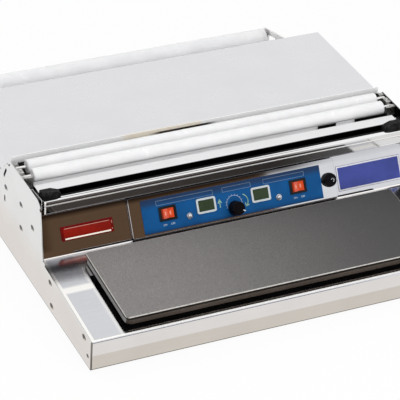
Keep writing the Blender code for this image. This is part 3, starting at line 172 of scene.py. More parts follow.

# Where a painted shade, painted highlight or dark line starts and ends, as two distances along one
# direction
IN_FRONT = (-0.004, -0.001)
LIP_SHADOW = (0.0500, 0.0585)
LIP_SHADOW_FADE = (0.08, 0.17)
CORNER_ACROSS = (-0.292, -0.268)
CORNER_UP = (0.006, 0.014)
BOX_MIDDLE = 0.003
BOX_END = (0.160, 0.162)
BOX_FOOT_LINE = (0.0022, 0.0032)
BEND_LINE = (0.0012, 0.0022)
LEVEL_SHARE = (0.90, 0.97)
DECK_BAND = 0.1110
DECK_BAND_EDGE = (0.0035, 0.0090)
DECK_RIM = (0.2875, 0.2890)
FRONT_RIM = (0.0042, 0.0052)
WELL_SIDE = (0.2468, 0.2525)
TABLE_LINE = (0.0048, 0.0056)
RAIL_FADE = (0.06, 0.19)
RAIL_LINE = -0.0890
RAIL_LINE_EDGE = (0.0006, 0.0012)
RAIL_FRONT = (-0.0930, -0.0924)
RAIL_FACE_FOOT = (0.1205, 0.1210)
RAIL_SLOT = (-0.0846, -0.0841)
RAIL_END = (0.2782, 0.2790)
RAIL_END_FRONT = (-0.0925, -0.0920)
FILM_SLOT_BACK = (-0.0718, -0.0712)
FILM_SLOT_FOOT = (0.1395, 0.1405)
FILM_GAP = (-0.0530, -0.0522)
FILM_GAP_SLOT = 0.179
FILM_GAP_SLOT_END = (0.0148, 0.0155)
FILM_GAP_RIGHT = (0.2180, 0.2190)
FLANGE_SLOT = 0.178
FLANGE_SLOT_END = (0.0145, 0.0155)
FLANGE_RIGHT = (0.2230, 0.2240)
SHELF_LIP = (0.0098, 0.0104)
CREAM_LEFT = (-0.130, -0.112)
CREAM_RIGHT = (-0.005, 0.005)
STREAK_LEFT = (-0.085, -0.060)
STREAK_RIGHT = (0.008, 0.030)
STREAK_HEAD = (0.1484, 0.1496)
ROCKER_GLINT_ASIDE = 0.0039
ROCKER_GLINT_EDGE = (0.0007, 0.0014)
ROCKER_GLINT_END = (0.0020, 0.0034)
SIDE_FRONT = (-0.2990, -0.2986)
SIDE_INSIDE = (0.2930, 0.2936)
PLATE_FADE = (-0.24, 0.24)
PLATE_END = (0.2371, 0.2377)
PLATE_FRONT = (0.0168, 0.0176)
PLATE_BACK = (0.1619, 0.1625)
PLATE_RIM = (0.0134, 0.0142)
PLATE_SIDE = (0.0136, 0.0142)
OVERLAY_HEAD = (0.0380, 0.0500)
OVERLAY_FOOT = (0.0050, 0.0075)
FLOOR_FRONT = (-0.305, -0.2995)
FLOOR_RIGHT = (-0.300, -0.295)
FLOOR_WARM = (-0.55, -0.42)
FLOOR_NEAR = (-0.3330, -0.3315)
FLOOR_BESIDE = (-0.345, -0.315)

# Shares of a face's direction that count as facing that way
FACING_UP = (0.6, 0.8)
FACING_FRONT = (-0.8, -0.6)
FACING_ASIDE = (0.80, 0.95)

# Colours that more than one finish takes
SLOT_SHADE_BLACK = (0.003, 0.003, 0.004)
# Dark brown of the painted shade along the foot, and of the line along the side plates' front edge
LINE_BROWN = (0.06, 0.055, 0.05)
EVEN_GRAIN = (0.01, 1, 1)

# Studio
WHITE = (1, 1, 1)
FLOOR_SIZE = 6
FLOOR_GLARE = 0.93
DIM_WORLD = 0.65
AIM = (0, 0, 0.05)


def turned_frame(place, across, up, out):
    """A matrix that lays a flat drawing on a surface."""
    matrix = Matrix((across, up, out)).transposed().to_4x4()
    matrix.translation = place
    return matrix


FACE = turned_frame(FASCIA_FOOT, (1, 0, 0), (0, math.sin(FASCIA_LEAN), math.cos(FASCIA_LEAN)),
                    (0, -math.cos(FASCIA_LEAN), math.sin(FASCIA_LEAN)))
DECK = turned_frame(DECK_FRONT, (1, 0, 0), (0, math.cos(DECK_ANGLE), math.sin(DECK_ANGLE)),
                    (0, -math.sin(DECK_ANGLE), math.cos(DECK_ANGLE)))


def make_camera():
    """The camera where the photograph was taken."""
    ahead = Vector((math.sin(CAMERA_AZIMUTH) * math.cos(CAMERA_DOWN),
                    math.cos(CAMERA_AZIMUTH) * math.cos(CAMERA_DOWN), -math.sin(CAMERA_DOWN)))
    level = ahead.cross(Vector((0, 0, 1))).normalized()
    upright = level.cross(ahead)
    right = math.cos(CAMERA_ROLL) * level + math.sin(CAMERA_ROLL) * upright
    top = -math.sin(CAMERA_ROLL) * level + math.cos(CAMERA_ROLL) * upright
    lens = bpy.data.cameras.new("camera")
    lens.sensor_width = SENSOR
    lens.lens = SENSOR * FOCAL_PIXELS / PICTURE
    lens.clip_end = CAMERA_REACH
    camera = bpy.data.objects.new("camera", lens)
    bpy.context.scene.collection.objects.link(camera)
    camera.matrix_world = turned_frame(CAMERA_AT, right, top, -ahead)
    bpy.context.scene.camera = camera


# Materials
class Field:
    """A socket of a material that takes part in sums."""

    def __init__(self, look, socket):
        self.look = look
        self.socket = socket

    def sum(self, operation, first, second):
        return self.look.add("ShaderNodeMath", {"operation": operation}, {0: first, 1: second})

    def __add__(self, other):
        return self.sum("ADD", self, other)

    def __radd__(self, other):
        return self.sum("ADD", other, self)

    def __sub__(self, other):
        return self.sum("SUBTRACT", self, other)

    def __rsub__(self, other):
        return self.sum("SUBTRACT", other, self)

    def __mul__(self, other):
        return self.sum("MULTIPLY", self, other)

    def __rmul__(self, other):
        return self.sum("MULTIPLY", other, self)


class Look:
    """A material and the nodes that are added to it."""

    def __init__(self, name, colour=(0.5, 0.5, 0.5), roughness=0.5, metallic=0.0):
        self.material = bpy.data.materials.new(name)
        self.material.use_nodes = True
        self.tree = self.material.node_tree
        self.shader = self.tree.nodes["Principled BSDF"]
        self.end = self.tree.nodes["Material Output"]
        self.set("Base Color", colour)
        self.set("Roughness", roughness)
        self.set("Metallic", metallic)

    def feed(self, socket, value):
        """Links a field to a socket or writes a number or colour on it."""
        if isinstance(value, Field):
            self.tree.links.new(value.socket, socket)
        elif socket.type == "RGBA":
            socket.default_value = (*value, 1)
        else:
            socket.default_value = value

    def add(self, kind, settings, inputs, output=0):
        """A node with its settings made first and then its sockets fed."""
        node = self.tree.nodes.new(kind)
        for name, value in settings.items():
            setattr(node, name, value)
        for key, value in inputs.items():
            self.feed(node.inputs[key], value)
        return Field(self, node.outputs[output])

    def set(self, name, value):
        self.feed(self.shader.inputs[name], value)

    def place(self, scale=(1, 1, 1), centre=(0, 0, 0), turn=(0, 0, 0)):
        """Object coordinates, moved so that the centre is nought, turned and stretched."""
        spot = self.add("ShaderNodeTexCoord", {}, {}, "Object")
        moved = self.add("ShaderNodeVectorMath", {"operation": "SUBTRACT"}, {0: spot, 1: centre})
        return self.add("ShaderNodeMapping", {},
                        {"Vector": moved, "Rotation": turn, "Scale": scale})

    def axis(self, place, name):
        return self.add("ShaderNodeSeparateXYZ", {}, {0: place}, name)

    def along(self, surface, column):
        """Distance from a surface's corner along one of its axes."""
        spot = self.add("ShaderNodeTexCoord", {}, {}, "Object")
        moved = self.add("ShaderNodeVectorMath", {"operation": "SUBTRACT"},
                         {0: spot, 1: surface.translation})
        return self.add("ShaderNodeVectorMath", {"operation": "DOT_PRODUCT"},
                        {0: moved, 1: surface.col[column].xyz}, "Value")

    def facing(self, name):
        """One part of the surface's own direction."""
        return self.axis(self.add("ShaderNodeTexCoord", {}, {}, "Normal"), name)

    def larger(self, first, second):
        return self.add("ShaderNodeMath", {"operation": "MAXIMUM"}, {0: first, 1: second})

    def size(self, value):
        return self.add("ShaderNodeMath", {"operation": "ABSOLUTE"}, {0: value})

    def noise(self, place, scale, detail=3.0, roughness=0.5):
        return self.add("ShaderNodeTexNoise", {},
                        {"Vector": place, "Scale": scale, "Detail": detail, "Roughness": roughness})

    def ramp(self, value, low, high, first=0.0, last=1.0):
        """The value spread smoothly from low to high."""
        return self.add("ShaderNodeMapRange", {"interpolation_type": "SMOOTHSTEP"},
                        {"Value": value, "From Min": low, "From Max": high, "To Min": first,
                         "To Max": last})

    def below(self, value, low, high):
        """One under the low value and nought over the high one."""
        return self.ramp(value, low, high, 1.0, 0.0)

    def near(self, value, middle, inner, outer):
        """One close to the middle and nought past the outer distance."""
        return self.below(self.size(value - middle), inner, outer)

    def axes(self):
        """Object coordinates across, deep and high."""
        return (self.axis(self.place(), name) for name in "XYZ")

    def mix(self, share, first, second):
        """A colour between two others."""
        return self.add("ShaderNodeMix", {"data_type": "RGBA"}, {0: share, 6: first, 7: second}, 2)

    def distance(self, spot, middle):
        return self.add("ShaderNodeVectorMath", {"operation": "DISTANCE"}, {0: spot, 1: middle},
                        "Value")

    def bump(self, height, strength, distance):
        made = self.add("ShaderNodeBump", {},
                        {"Height": height, "Strength": strength, "Distance": distance})
        self.set("Normal", made)

    def shade(self, share, colour):
        """Lays a colour over the base colour where the share is one."""
        socket = self.shader.inputs["Base Color"]
        below = Field(self, socket.links[0].from_socket)
        self.set("Base Color", self.mix(share, below, colour))


def steel(name, bright, dark, roughness, grain=(1, 1, 1), smudge=0.05):
    """Sheet steel with its grain in one direction, faint cloudy smudges and fine scratches."""
    look = Look(name, metallic=1.0)
    lines = look.noise(look.place(grain), 900, 4, 0.6)
    clouds = look.noise(look.place(), 14, 4, 0.6)
    fine = look.noise(look.place(), 420, 2, 0.5)
    tone = look.ramp(clouds * 0.6 + lines * 0.4, 0.3, 0.7)
    look.set("Base Color", look.mix(tone, dark, bright))
    look.set("Roughness", roughness + smudge * look.ramp(clouds, 0.45, 0.75) + smudge * 0.4 * fine)
    look.bump(lines, 0.02, 0.0002)
    return look


def speckled(name, base, light, roughness, size, strength, grain=0.5, metallic=0.0):
    """A coat with a fine speckle and a grain that can be felt."""
    look = Look(name, metallic=metallic)
    fine = look.noise(look.place(), size, 3, 0.6)
    clouds = look.noise(look.place(), 25, 3, 0.5)
    share = look.ramp(fine * (1 - grain) + clouds * grain, 0.35, 0.7)
    look.set("Base Color", look.mix(share, base, light))
    look.set("Roughness", roughness + 0.12 * fine - 0.06)
    look.bump(fine, strength, 0.0003)
    return look


def moulded(name, colour, roughness, shade=0.9, coat=0.0):
    """Moulded plastic with a faint cloudiness and fine surface grain."""
    look = Look(name)
    clouds = look.noise(look.place(), 40, 3, 0.5)
    fine = look.noise(look.place(), 1600, 2, 0.5)
    dull = tuple(part * shade for part in colour)
    look.set("Base Color", look.mix(look.ramp(clouds, 0.35, 0.65), dull, colour))
    look.set("Roughness", roughness + 0.08 * clouds - 0.02)
    look.set("Coat Weight", coat)
    look.bump(fine, 0.05, 0.0002)
    return look


def printed(name, colour, roughness=0.45):
    """Ink with slightly uneven cover."""
    look = Look(name)
    uneven = look.noise(look.place(), 700, 2, 0.5)
    thin = tuple(part * 0.85 for part in colour)
    look.set("Base Color", look.mix(look.ramp(uneven, 0.35, 0.6), thin, colour))
    look.set("Roughness", roughness + 0.1 * uneven)
    return look


def fascia_sheet(name):
    """Polished sheet of the deck, fascia and control box, with painted shadows and painted
    highlights.
    """
    look = steel(name, (0.66, 0.67, 0.70), (0.61, 0.62, 0.65), 0.05, EVEN_GRAIN)
    up = look.along(FACE, 1)
    out = look.along(FACE, 2)
    across = look.axis(look.place(), "X")
    # Painted shadow under the rail's lip, fading to the right
    under_lip = look.ramp(up, *LIP_SHADOW) * look.ramp(out, *IN_FRONT)
    fading = look.ramp(across, *LIP_SHADOW_FADE, 0.85, 0.15)
    look.shade(under_lip * fading, (0.035, 0.026, 0.030))
    # Painted shade in the left corner of the fascia
    corner = look.below(across, *CORNER_ACROSS) * look.ramp(up, *CORNER_UP)
    look.shade(corner * look.ramp(out, *IN_FRONT) * 0.6, (0.10, 0.06, 0.04))
    # Painted shade along the control box's foot, and a painted highlight on the bend beside the box
    beside = look.ramp(look.size(across - BOX_MIDDLE), *BOX_END)
    foot = look.below(look.size(up), *BOX_FOOT_LINE) * (1 - beside)
    look.shade(foot * 0.85, (0.070, 0.050, 0.040))
    bend = look.below(look.size(up), *BEND_LINE) * beside
    look.shade(bend * 0.9, (1.0, 0.96, 0.92))
    # Painted highlights: a pale band across the deck, its side and front rims and the strips beside
    # the well
    level = look.ramp(look.facing("Z"), *LEVEL_SHARE)
    ahead = look.along(DECK, 1)
    band = look.near(ahead, DECK_BAND, *DECK_BAND_EDGE)
    rim = look.ramp(look.size(across), *DECK_RIM)
    front_rim = look.below(ahead, *FRONT_RIM) * level
    beside_well = look.ramp(look.size(across), *WELL_SIDE, 0.6, 0.0)
    pale = look.larger(look.larger(band, beside_well), look.larger(rim, front_rim))
    look.shade(level * pale * 0.9, (1.0, 0.98, 0.94))
    look.set("Metallic", 1 - 0.9 * front_rim)
    # Painted shade along the foot where the sheet meets the table
    table_line = look.below(look.axis(look.place(), "Z"), *TABLE_LINE)
    look.shade(table_line * 0.8, LINE_BROWN)
    look.set("Roughness", 0.05 + 0.11 * level)
    return look


def rail_steel():
    """Bright folded rail with painted shade in the slot, painted dark reflections and painted
    highlights on its ends.
    """
    look = steel("rail_steel", (0.90, 0.90, 0.90), (0.84, 0.84, 0.84), 0.07, EVEN_GRAIN)
    across, deep, high = look.axes()
    left_part = look.below(across, *RAIL_FADE)
    # Painted dark reflection in a line along the top and over the face, both fading to the right
    line = look.near(deep, RAIL_LINE, *RAIL_LINE_EDGE) * left_part
    look.shade(line * 0.75, (0.12, 0.11, 0.10))
    face = look.below(deep, *RAIL_FRONT) * look.ramp(high, *RAIL_FACE_FOOT)
    look.shade(face * (0.25 + 0.65 * left_part), (0.13, 0.11, 0.10))
    # Painted shade down in the slot
    look.shade(look.ramp(deep, *RAIL_SLOT), SLOT_SHADE_BLACK)
    # Painted highlight on the face's ends
    end = look.ramp(look.size(across), *RAIL_END) * look.below(deep, *RAIL_END_FRONT)
    look.shade(end, (0.95, 0.91, 0.88))
    look.set("Metallic", 1 - 0.9 * end)
    return look


def film_plate_steel():
    """Satin film plate with painted shade down in the slot and in the gaps under the right of the
    roller.
    """
    look = steel("film_plate_steel", (0.82, 0.82, 0.83), (0.77, 0.77, 0.78), 0.16, EVEN_GRAIN)
    across, deep, high = look.axes()
    # Painted shade down in the slot
    slot = look.larger(look.below(deep, *FILM_SLOT_BACK), look.below(high, *FILM_SLOT_FOOT))
    look.shade(slot, SLOT_SHADE_BLACK)
    # Painted shade in the gaps under the right of the roller
    gap = look.ramp(deep, *FILM_GAP)
    pieces = look.larger(look.near(across, FILM_GAP_SLOT, *FILM_GAP_SLOT_END),
                         look.ramp(across, *FILM_GAP_RIGHT))
    look.shade(gap * pieces * 0.95, (0.010, 0.010, 0.012))
    return look


def film_flange_steel():
    """Grey fold with painted shade in two dark gaps on the right."""
    look = steel("film_flange_steel", (0.97, 0.97, 0.98), (0.93, 0.93, 0.94), 0.35)
    across = look.axis(look.place(), "X")
    # Painted shade where the gaps show dark
    slots = look.larger(look.near(across, FLANGE_SLOT, *FLANGE_SLOT_END),
                        look.ramp(across, *FLANGE_RIGHT))
    look.shade(slots, (0.004, 0.004, 0.005))
    look.set("Metallic", 0.3)
    return look


def shelf_steel():
    """Satin shelf, its upturned lip painted white in front with a pale yellow part and a dark
    streak, all painted reflections.
    """
    look = steel("shelf_steel", (0.75, 0.75, 0.77), (0.72, 0.72, 0.74), 0.26, (0.02, 1, 1), 0.03)
    across, deep, high = look.axes()
    # The lip's front is painted white and not metallic: a painted reflection of the lit rollers
    lip = look.below(deep, *SHELF_LIP)
    look.shade(lip, WHITE)
    look.set("Metallic", 1 - 0.95 * lip)
    cream = look.ramp(across, *CREAM_LEFT) * look.below(across, *CREAM_RIGHT)
    look.shade(lip * cream * 0.8, (0.98, 0.88, 0.72))
    # A painted dark reflected streak across the lip
    dark = look.ramp(across, *STREAK_LEFT) * look.below(across, *STREAK_RIGHT)
    look.shade(lip * dark * look.below(high, *STREAK_HEAD), (0.030, 0.022, 0.016))
    return look


def rocker_plastic():
    """Red rockers with a painted highlight on each half."""
    look = moulded("rocker_red", (0.72, 0.066, 0.012), 0.20, 0.85, 0.3)
    across = look.size(look.axis(look.place(), "X")) - SWITCH_X
    up = look.along(FACE, 1) - SWITCH_UP
    # Painted highlights: a pale bar on each half of each rocker
    painted_glints = look.near(look.size(across), ROCKER_GLINT_ASIDE, *ROCKER_GLINT_EDGE)
    look.shade(painted_glints * look.below(look.size(up), *ROCKER_GLINT_END) * 0.7, (0.95, 0.42, 0.28))
    return look


def end_steel():
    """End plates with painted highlights on their upper and front faces and painted shade on the
    rest.
    """
    look = steel("end_steel", (0.86, 0.86, 0.85), (0.80, 0.80, 0.79), 0.10)
    # Painted highlight where the faces turn up or forward, painted shade on the rest, so only the
    # bright sheet edges show against the dark gap
    bright = look.larger(look.ramp(look.facing("Z"), *FACING_UP),
                         look.below(look.facing("Y"), *FACING_FRONT))
    look.shade(bright, (0.92, 0.92, 0.92))
    look.shade(1 - bright, (0.008, 0.008, 0.008))
    look.set("Metallic", 0.15)
    return look


def side_steel():
    """Side plates, bright outside, with painted shade in their countersunk screw holes, painted
    glints on the screws and painted shade inside.
    """
    look = steel("side_steel", (0.74, 0.74, 0.735), (0.69, 0.69, 0.685), 0.13, (1, 0.01, 1), 0.03)
    spot = look.place((0, SCREW_SQUASH, 1))
    holes = 0
    screw_glints = 0
    for deep, high, radius in SIDE_SCREWS:
        deep = (deep - HALF_DEPTH) * SCREW_SQUASH
        high = high + FOOT
        away = look.distance(spot, (0, deep, high))
        holes = look.larger(look.below(away, radius - SCREW_EDGE, radius), holes)
        away = look.distance(spot, (0, deep - SCREW_GLINT_ASIDE, high - SCREW_GLINT_DOWN))
        screw_glints = look.larger(look.below(away, *(radius * part for part in SCREW_GLINT_SHARES)), screw_glints)
    # Painted shade in the screw holes and painted glints on the screws
    look.shade(holes, (0.003, 0.003, 0.003))
    look.shade(screw_glints, (0.70, 0.64, 0.52))
    across, deep, high = look.axes()
    # Painted shade along the foot, and a dark brown line along the front edge
    look.shade(look.below(high, *TABLE_LINE) * 0.8, LINE_BROWN)
    look.shade(look.below(deep, *SIDE_FRONT) * 0.8, LINE_BROWN)
    # Painted shade on the inner faces
    look.shade(look.below(look.size(across), *SIDE_INSIDE), (0.010, 0.010, 0.010))
    return look


def coated_plate():
    """The fine even grain of the coated plate, with a painted falloff of its sheen and a patchy
    painted highlight along its upper edge.
    """
    look = speckled("plate_coating", (0.145, 0.137, 0.133), (0.292, 0.280, 0.272), 0.40, 1000,
                    0.5, 0.05)
    across = look.axis(look.place(), "X")
    # Painted falloff of the sheen: darker towards the right
    look.shade(look.ramp(across, *PLATE_FADE, 0.0, 0.85), (0.026, 0.025, 0.026))
    ahead = look.along(DECK, 1)
    out = look.along(DECK, 2)
    # Patchy painted highlight along the upper edge
    rim = look.larger(look.ramp(look.size(across), *PLATE_END), look.below(ahead, *PLATE_FRONT))
    rim = look.larger(rim, look.ramp(ahead, *PLATE_BACK))
    patchy = look.ramp(look.noise(look.place(), 240, 3, 0.6), 0.25, 0.55, 0.55, 1.0)
    look.shade(rim * look.ramp(out, *PLATE_RIM) * patchy, (0.55, 0.53, 0.50))
    # Painted shade on the plate's sides
    look.shade(look.below(out, *PLATE_SIDE), (0.004, 0.003, 0.003))
    return look


def pan_enamel():
    """Dark enamel of the pan under the plate, with painted light making its ends greyer."""
    look = speckled("pan_enamel", (0.050, 0.038, 0.031), (0.085, 0.067, 0.055), 0.45, 500, 0.3)
    # Painted light on the ends that face sideways
    look.shade(look.ramp(look.size(look.facing("X")), *FACING_ASIDE), (0.36, 0.355, 0.35))
    return look


def overlay_ink():
    """Blue overlay with painted shadow along its upper edge and a little painted shade along its
    foot.
    """
    look = moulded("overlay_print", (0.004, 0.084, 0.262), 0.30, 0.88)
    up = look.along(FACE, 1)
    # Painted shadow under the rail and painted shade along the foot
    look.shade(look.ramp(up, *OVERLAY_HEAD) * 0.75, (0.018, 0.024, 0.048))
    look.shade(look.below(up, *OVERLAY_FOOT) * 0.6, (0.012, 0.025, 0.060))
    look.set("Specular IOR Level", 0.12)
    return look


DECK_STEEL = fascia_sheet("deck_steel")
BOX_STEEL = fascia_sheet("box_steel")
POLISHED = steel("polished_sheet", (0.70, 0.70, 0.71), (0.64, 0.64, 0.65), 0.08, EVEN_GRAIN)
SIDE_STEEL = side_steel()
RAIL_STEEL = rail_steel()
FILM_STEEL = film_plate_steel()
END_STEEL = end_steel()
BRIGHT = steel("bright_trim", (0.86, 0.85, 0.84), (0.78, 0.77, 0.76), 0.08, EVEN_GRAIN)
DULL = steel("dull_sheet", (0.46, 0.44, 0.42), (0.33, 0.32, 0.30), 0.30, (0.05, 1, 1), 0.15)
SHELF = shelf_steel()
BRACKET = speckled("mottled_bracket", (0.22, 0.22, 0.22), (0.70, 0.69, 0.67),
                   0.32, 260, 0.4, 0.2, 1.0)
COATING = coated_plate()
PAN = pan_enamel()
ROUGH_BLACK = speckled("rough_black", (0.001, 0.001, 0.001), (0.024, 0.025, 0.024),
                       0.8, 260, 1.0, 0.1)
ROD_COAT = speckled("rod_coating", (0.003, 0.003, 0.004), (0.007, 0.007, 0.008), 0.7, 900, 0.3)
WHITE_TUBE = moulded("white_sleeve", (0.84, 0.84, 0.85), 0.24, 0.96)
WHITE_FRAME = moulded("white_frame", (0.55, 0.60, 0.62), 0.3, 0.93)
BLACK_SHELL = moulded("black_shell", (0.010, 0.010, 0.011), 0.3, 0.6)
KNOB_BLACK = moulded("knob_black", (0.005, 0.004, 0.005), 0.22, 0.6)
RUBBER = moulded("foot_rubber", (0.03, 0.03, 0.03), 0.8, 0.7)
BLUE = overlay_ink()
RED = rocker_plastic()
GREEN = moulded("display_green", (0.030, 0.048, 0.022), 0.25, 0.8)
ENAMEL = moulded("badge_enamel", (0.27, 0.010, 0.004), 0.35, 0.75)
ENAMEL_DARK = moulded("badge_edge", (0.17, 0.003, 0.002), 0.35, 0.7)
# Pale painted highlights on the badge
BADGE_GLINT_PINK = moulded("badge_glint_line", (0.62, 0.30, 0.24), 0.3, 0.8)
BADGE_GLINT_CREAM = moulded("badge_glint_foot", (0.95, 0.88, 0.78), 0.3, 0.95)
LABEL_BLUE = moulded("label_blue", (0.050, 0.070, 0.31), 0.35, 0.8)
LABEL_EDGE = moulded("label_edge", (0.030, 0.045, 0.20), 0.35, 0.8)
LABEL_WHITE = moulded("label_white", (0.72, 0.72, 0.75), 0.35, 0.95)
BRASS = steel("carrier_brass", (0.66, 0.50, 0.22), (0.50, 0.36, 0.15), 0.25, (1, 1, 0.05))
# The insulation is coloured near black as painted shade deep under the plate
WOOL_IN_SHADE = speckled("insulation_shade_black", (0.003, 0.003, 0.003), (0.010, 0.010, 0.010), 0.9, 300, 0.9)
# White of the print on the overlay and knob, and of the painted glint on the fuse cap
WHITE_INK_AND_GLINT = printed("white_print_and_glint", (0.62, 0.68, 0.72))
GREEN_INK = printed("light_green_print", (0.30, 0.52, 0.36))
FLANGE = film_flange_steel()
PALE_LINE = printed("pale_line_print", (0.16, 0.24, 0.36))
WHITE_TUBE.set("Subsurface Weight", 0.6)
WHITE_TUBE.set("Subsurface Radius", (1, 1, 1))
WHITE_TUBE.set("Subsurface Scale", 0.012)
for dry in (ENAMEL, ENAMEL_DARK, KNOB_BLACK):
    dry.set("Specular IOR Level", 0.06)
for quiet in (WOOL_IN_SHADE, ROUGH_BLACK, ROD_COAT, BLACK_SHELL, PAN, GREEN, COATING, LABEL_BLUE):
    quiet.set("Specular IOR Level", 0.25)

FINISHES = {
    "side_plate": SIDE_STEEL, "bottom_plate": DULL, "deck_panel": DECK_STEEL,
    "well_tray": ROUGH_BLACK, "heater_insulation": WOOL_IN_SHADE, "heater_pan": PAN,
    "hot_plate": COATING, "rail": RAIL_STEEL, "film_plate": FILM_STEEL,
    "cutting_rod": ROD_COAT, "rod_block": ROUGH_BLACK, "end_plate": END_STEEL,
    "roller_bracket": BRACKET, "roller_axle": BRIGHT, "roller_": WHITE_TUBE,
    "partition": SHELF, "shelf": SHELF, "rear_wall": POLISHED,
    "film_arm": BRIGHT, "film_tube": WHITE_TUBE, "tube_axle": DULL,
    "foot_": RUBBER, "cable_gland": BLACK_SHELL, "control_box": BOX_STEEL,
    "overlay": BLUE, "switch_housing": BLACK_SHELL, "rocker_": RED,
    "window_frame": WHITE_FRAME, "window_lens": GREEN, "pilot_lamp": BRIGHT,
    "knob": KNOB_BLACK, "thermostat": DULL, "fuse_holder": BLACK_SHELL,
    "fuse_carrier": BRASS, "fuse_cap": KNOB_BLACK,
}


def smooth_faces():
    """A node group that shades every face smooth."""
    group = bpy.data.node_groups.new("smooth_faces", "GeometryNodeTree")
    group.interface.new_socket("Geometry", in_out="INPUT", socket_type="NodeSocketGeometry")
    group.interface.new_socket("Geometry", in_out="OUTPUT", socket_type="NodeSocketGeometry")
    start = group.nodes.new("NodeGroupInput")
    smooth = group.nodes.new("GeometryNodeSetShadeSmooth")
    end = group.nodes.new("NodeGroupOutput")
    group.links.new(start.outputs[0], smooth.inputs["Geometry"])
    group.links.new(smooth.outputs[0], end.inputs[0])
    return group


SMOOTH = smooth_faces()


def ease(thing):
    """Rounds the sharp edges of a solid a little and shades it smooth between them."""
    weld = thing.modifiers.new("weld", "WELD")
    weld.merge_threshold = MERGE
    flat = thing.modifiers.new("flat", "DECIMATE")
    flat.decimate_type = "DISSOLVE"
    flat.angle_limit = FLAT_ANGLE
    edge = thing.modifiers.new("edge", "BEVEL")
    edge.width = EASE
    edge.segments = 2
    edge.limit_method = "ANGLE"
    edge.angle_limit = EASED_ANGLE
    smooth = thing.modifiers.new("smooth", "NODES")
    smooth.node_group = SMOOTH
    normals = thing.modifiers.new("normals", "WEIGHTED_NORMAL")
    normals.keep_sharp = False


def dress_solids():
    """Each solid gets its finish and eased edges."""
    for name, thing in NODES.items():
        start = max((key for key in FINISHES if name.startswith(key)), key=len)
        thing.data.materials.clear()
        thing.data.materials.append(FINISHES[start].material)
        ease(thing)


# Pieces
def collect(bm, name, look, body="body"):
    """A finished piece that rides on a body."""
    bmesh.ops.recalc_face_normals(bm, faces=bm.faces)
    mesh = bpy.data.meshes.new(name)
    bm.to_mesh(mesh)
    bm.free()
    mesh.shade_smooth()
    mesh.set_sharp_from_angle(angle=SHARP_ANGLE)
    mesh.materials.append(look.material)
    thing = bpy.data.objects.new(name, mesh)
    bpy.context.scene.collection.objects.link(thing)
    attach(thing, body)
    return thing


def slab(bm, size, place, corner=0.0, edge=0.0):
    """A flat block on a surface, with round corners and an eased outer edge."""
    width, height, thickness = size
    across, up, out = place
    made = bmesh.ops.create_cube(bm, size=1.0)
    verts = made["verts"]
    bmesh.ops.scale(bm, vec=(width, height, thickness), verts=verts)
    bmesh.ops.translate(bm, vec=(across, up, out + thickness / 2), verts=verts)
    if corner > 0:
        upright = [e for e in {e for v in verts for e in v.link_edges}
                   if (e.verts[0].co - e.verts[1].co).xy.length < MERGE]
        grown = bmesh.ops.bevel(bm, geom=upright, offset=corner, segments=5, affect="EDGES",
                                profile=0.5, material=-1)
        verts = list({v for v in verts if v.is_valid} | set(grown["verts"]))
    if edge > 0:
        top = out + thickness - MERGE
        rim = [e for e in {e for v in verts for e in v.link_edges}
               if min(v.co.z for v in e.verts) > top]
        bmesh.ops.bevel(bm, geom=rim, offset=edge, segments=3, affect="EDGES", profile=0.5,
                        material=-1)


def ray(degrees):
    """A step of one in a direction on a surface."""
    angle = math.radians(degrees)
    return Vector((math.cos(angle), math.sin(angle)))


def stroke(bm, start, end, width, out, thickness=PRINT_SHEET):
    """A straight printed line between two places on a surface."""
    start = Vector(start)
    end = Vector(end)
    run = end - start
    verts = bmesh.ops.create_cube(bm, size=1.0)["verts"]
    bmesh.ops.scale(bm, vec=(run.length + width, width, thickness), verts=verts)
    turn = Matrix.Rotation(math.atan2(run.y, run.x), 3, "Z")
    bmesh.ops.rotate(bm, cent=(0, 0, 0), matrix=turn, verts=verts)
    middle = (start + end) / 2
    bmesh.ops.translate(bm, vec=(middle.x, middle.y, out + thickness / 2), verts=verts)


def outline_box(bm, left, right, low, high, width, out):
    """Four printed lines round a box."""
    corners = [(left, low), (right, low), (right, high), (left, high)]
    for first, second in zip(corners, corners[1:] + corners[:1]):
        stroke(bm, first, second, width, out)


def chain(bm, points, width, out, thickness=PRINT_SHEET):
    """Printed lines from each point to the next."""
    for first, second in zip(points, points[1:]):
        stroke(bm, first, second, width, out, thickness)


def laid(bm, name, look, body="body"):
    """Puts a flat drawing on the fascia and finishes it as a piece."""
    bmesh.ops.transform(bm, matrix=FACE, verts=bm.verts)
    return collect(bm, name, look, body)


def badge():
    """The raised badge on the left of the fascia: dark edge, bare red field and painted highlights.
    """
    bm = bmesh.new()
    slab(bm, BADGE_SIZE, (*BADGE_MIDDLE, LIFT), BADGE_CORNER, BADGE_EDGE)
    laid(bm, "badge_edge", ENAMEL_DARK)
    bm = bmesh.new()
    slab(bm, FIELD_SIZE, (*FIELD_MIDDLE, BADGE_SIZE[2] + LIFT), FIELD_CORNER, FIELD_EDGE)
    laid(bm, "badge_field", ENAMEL)
    bm = bmesh.new()
    stroke(bm, (GLINT_LEFT, GLINT_TOP), (GLINT_RIGHT, GLINT_TOP), GLINT_TOP_WIDTH, GLINT_OUT,
           GLINT_SHEET)
    stroke(bm, *GLINT_END, GLINT_TOP_WIDTH, GLINT_OUT, GLINT_SHEET)
    stroke(bm, *GLINT_DOT, GLINT_DOT_WIDTH, GLINT_OUT, GLINT_SHEET)
    laid(bm, "badge_glint_line", BADGE_GLINT_PINK)
    bm = bmesh.new()
    stroke(bm, (GLINT_LEFT, GLINT_FOOT), (GLINT_RIGHT, GLINT_FOOT), GLINT_FOOT_WIDTH, GLINT_OUT,
           GLINT_SHEET)
    laid(bm, "badge_glint_foot", BADGE_GLINT_CREAM)


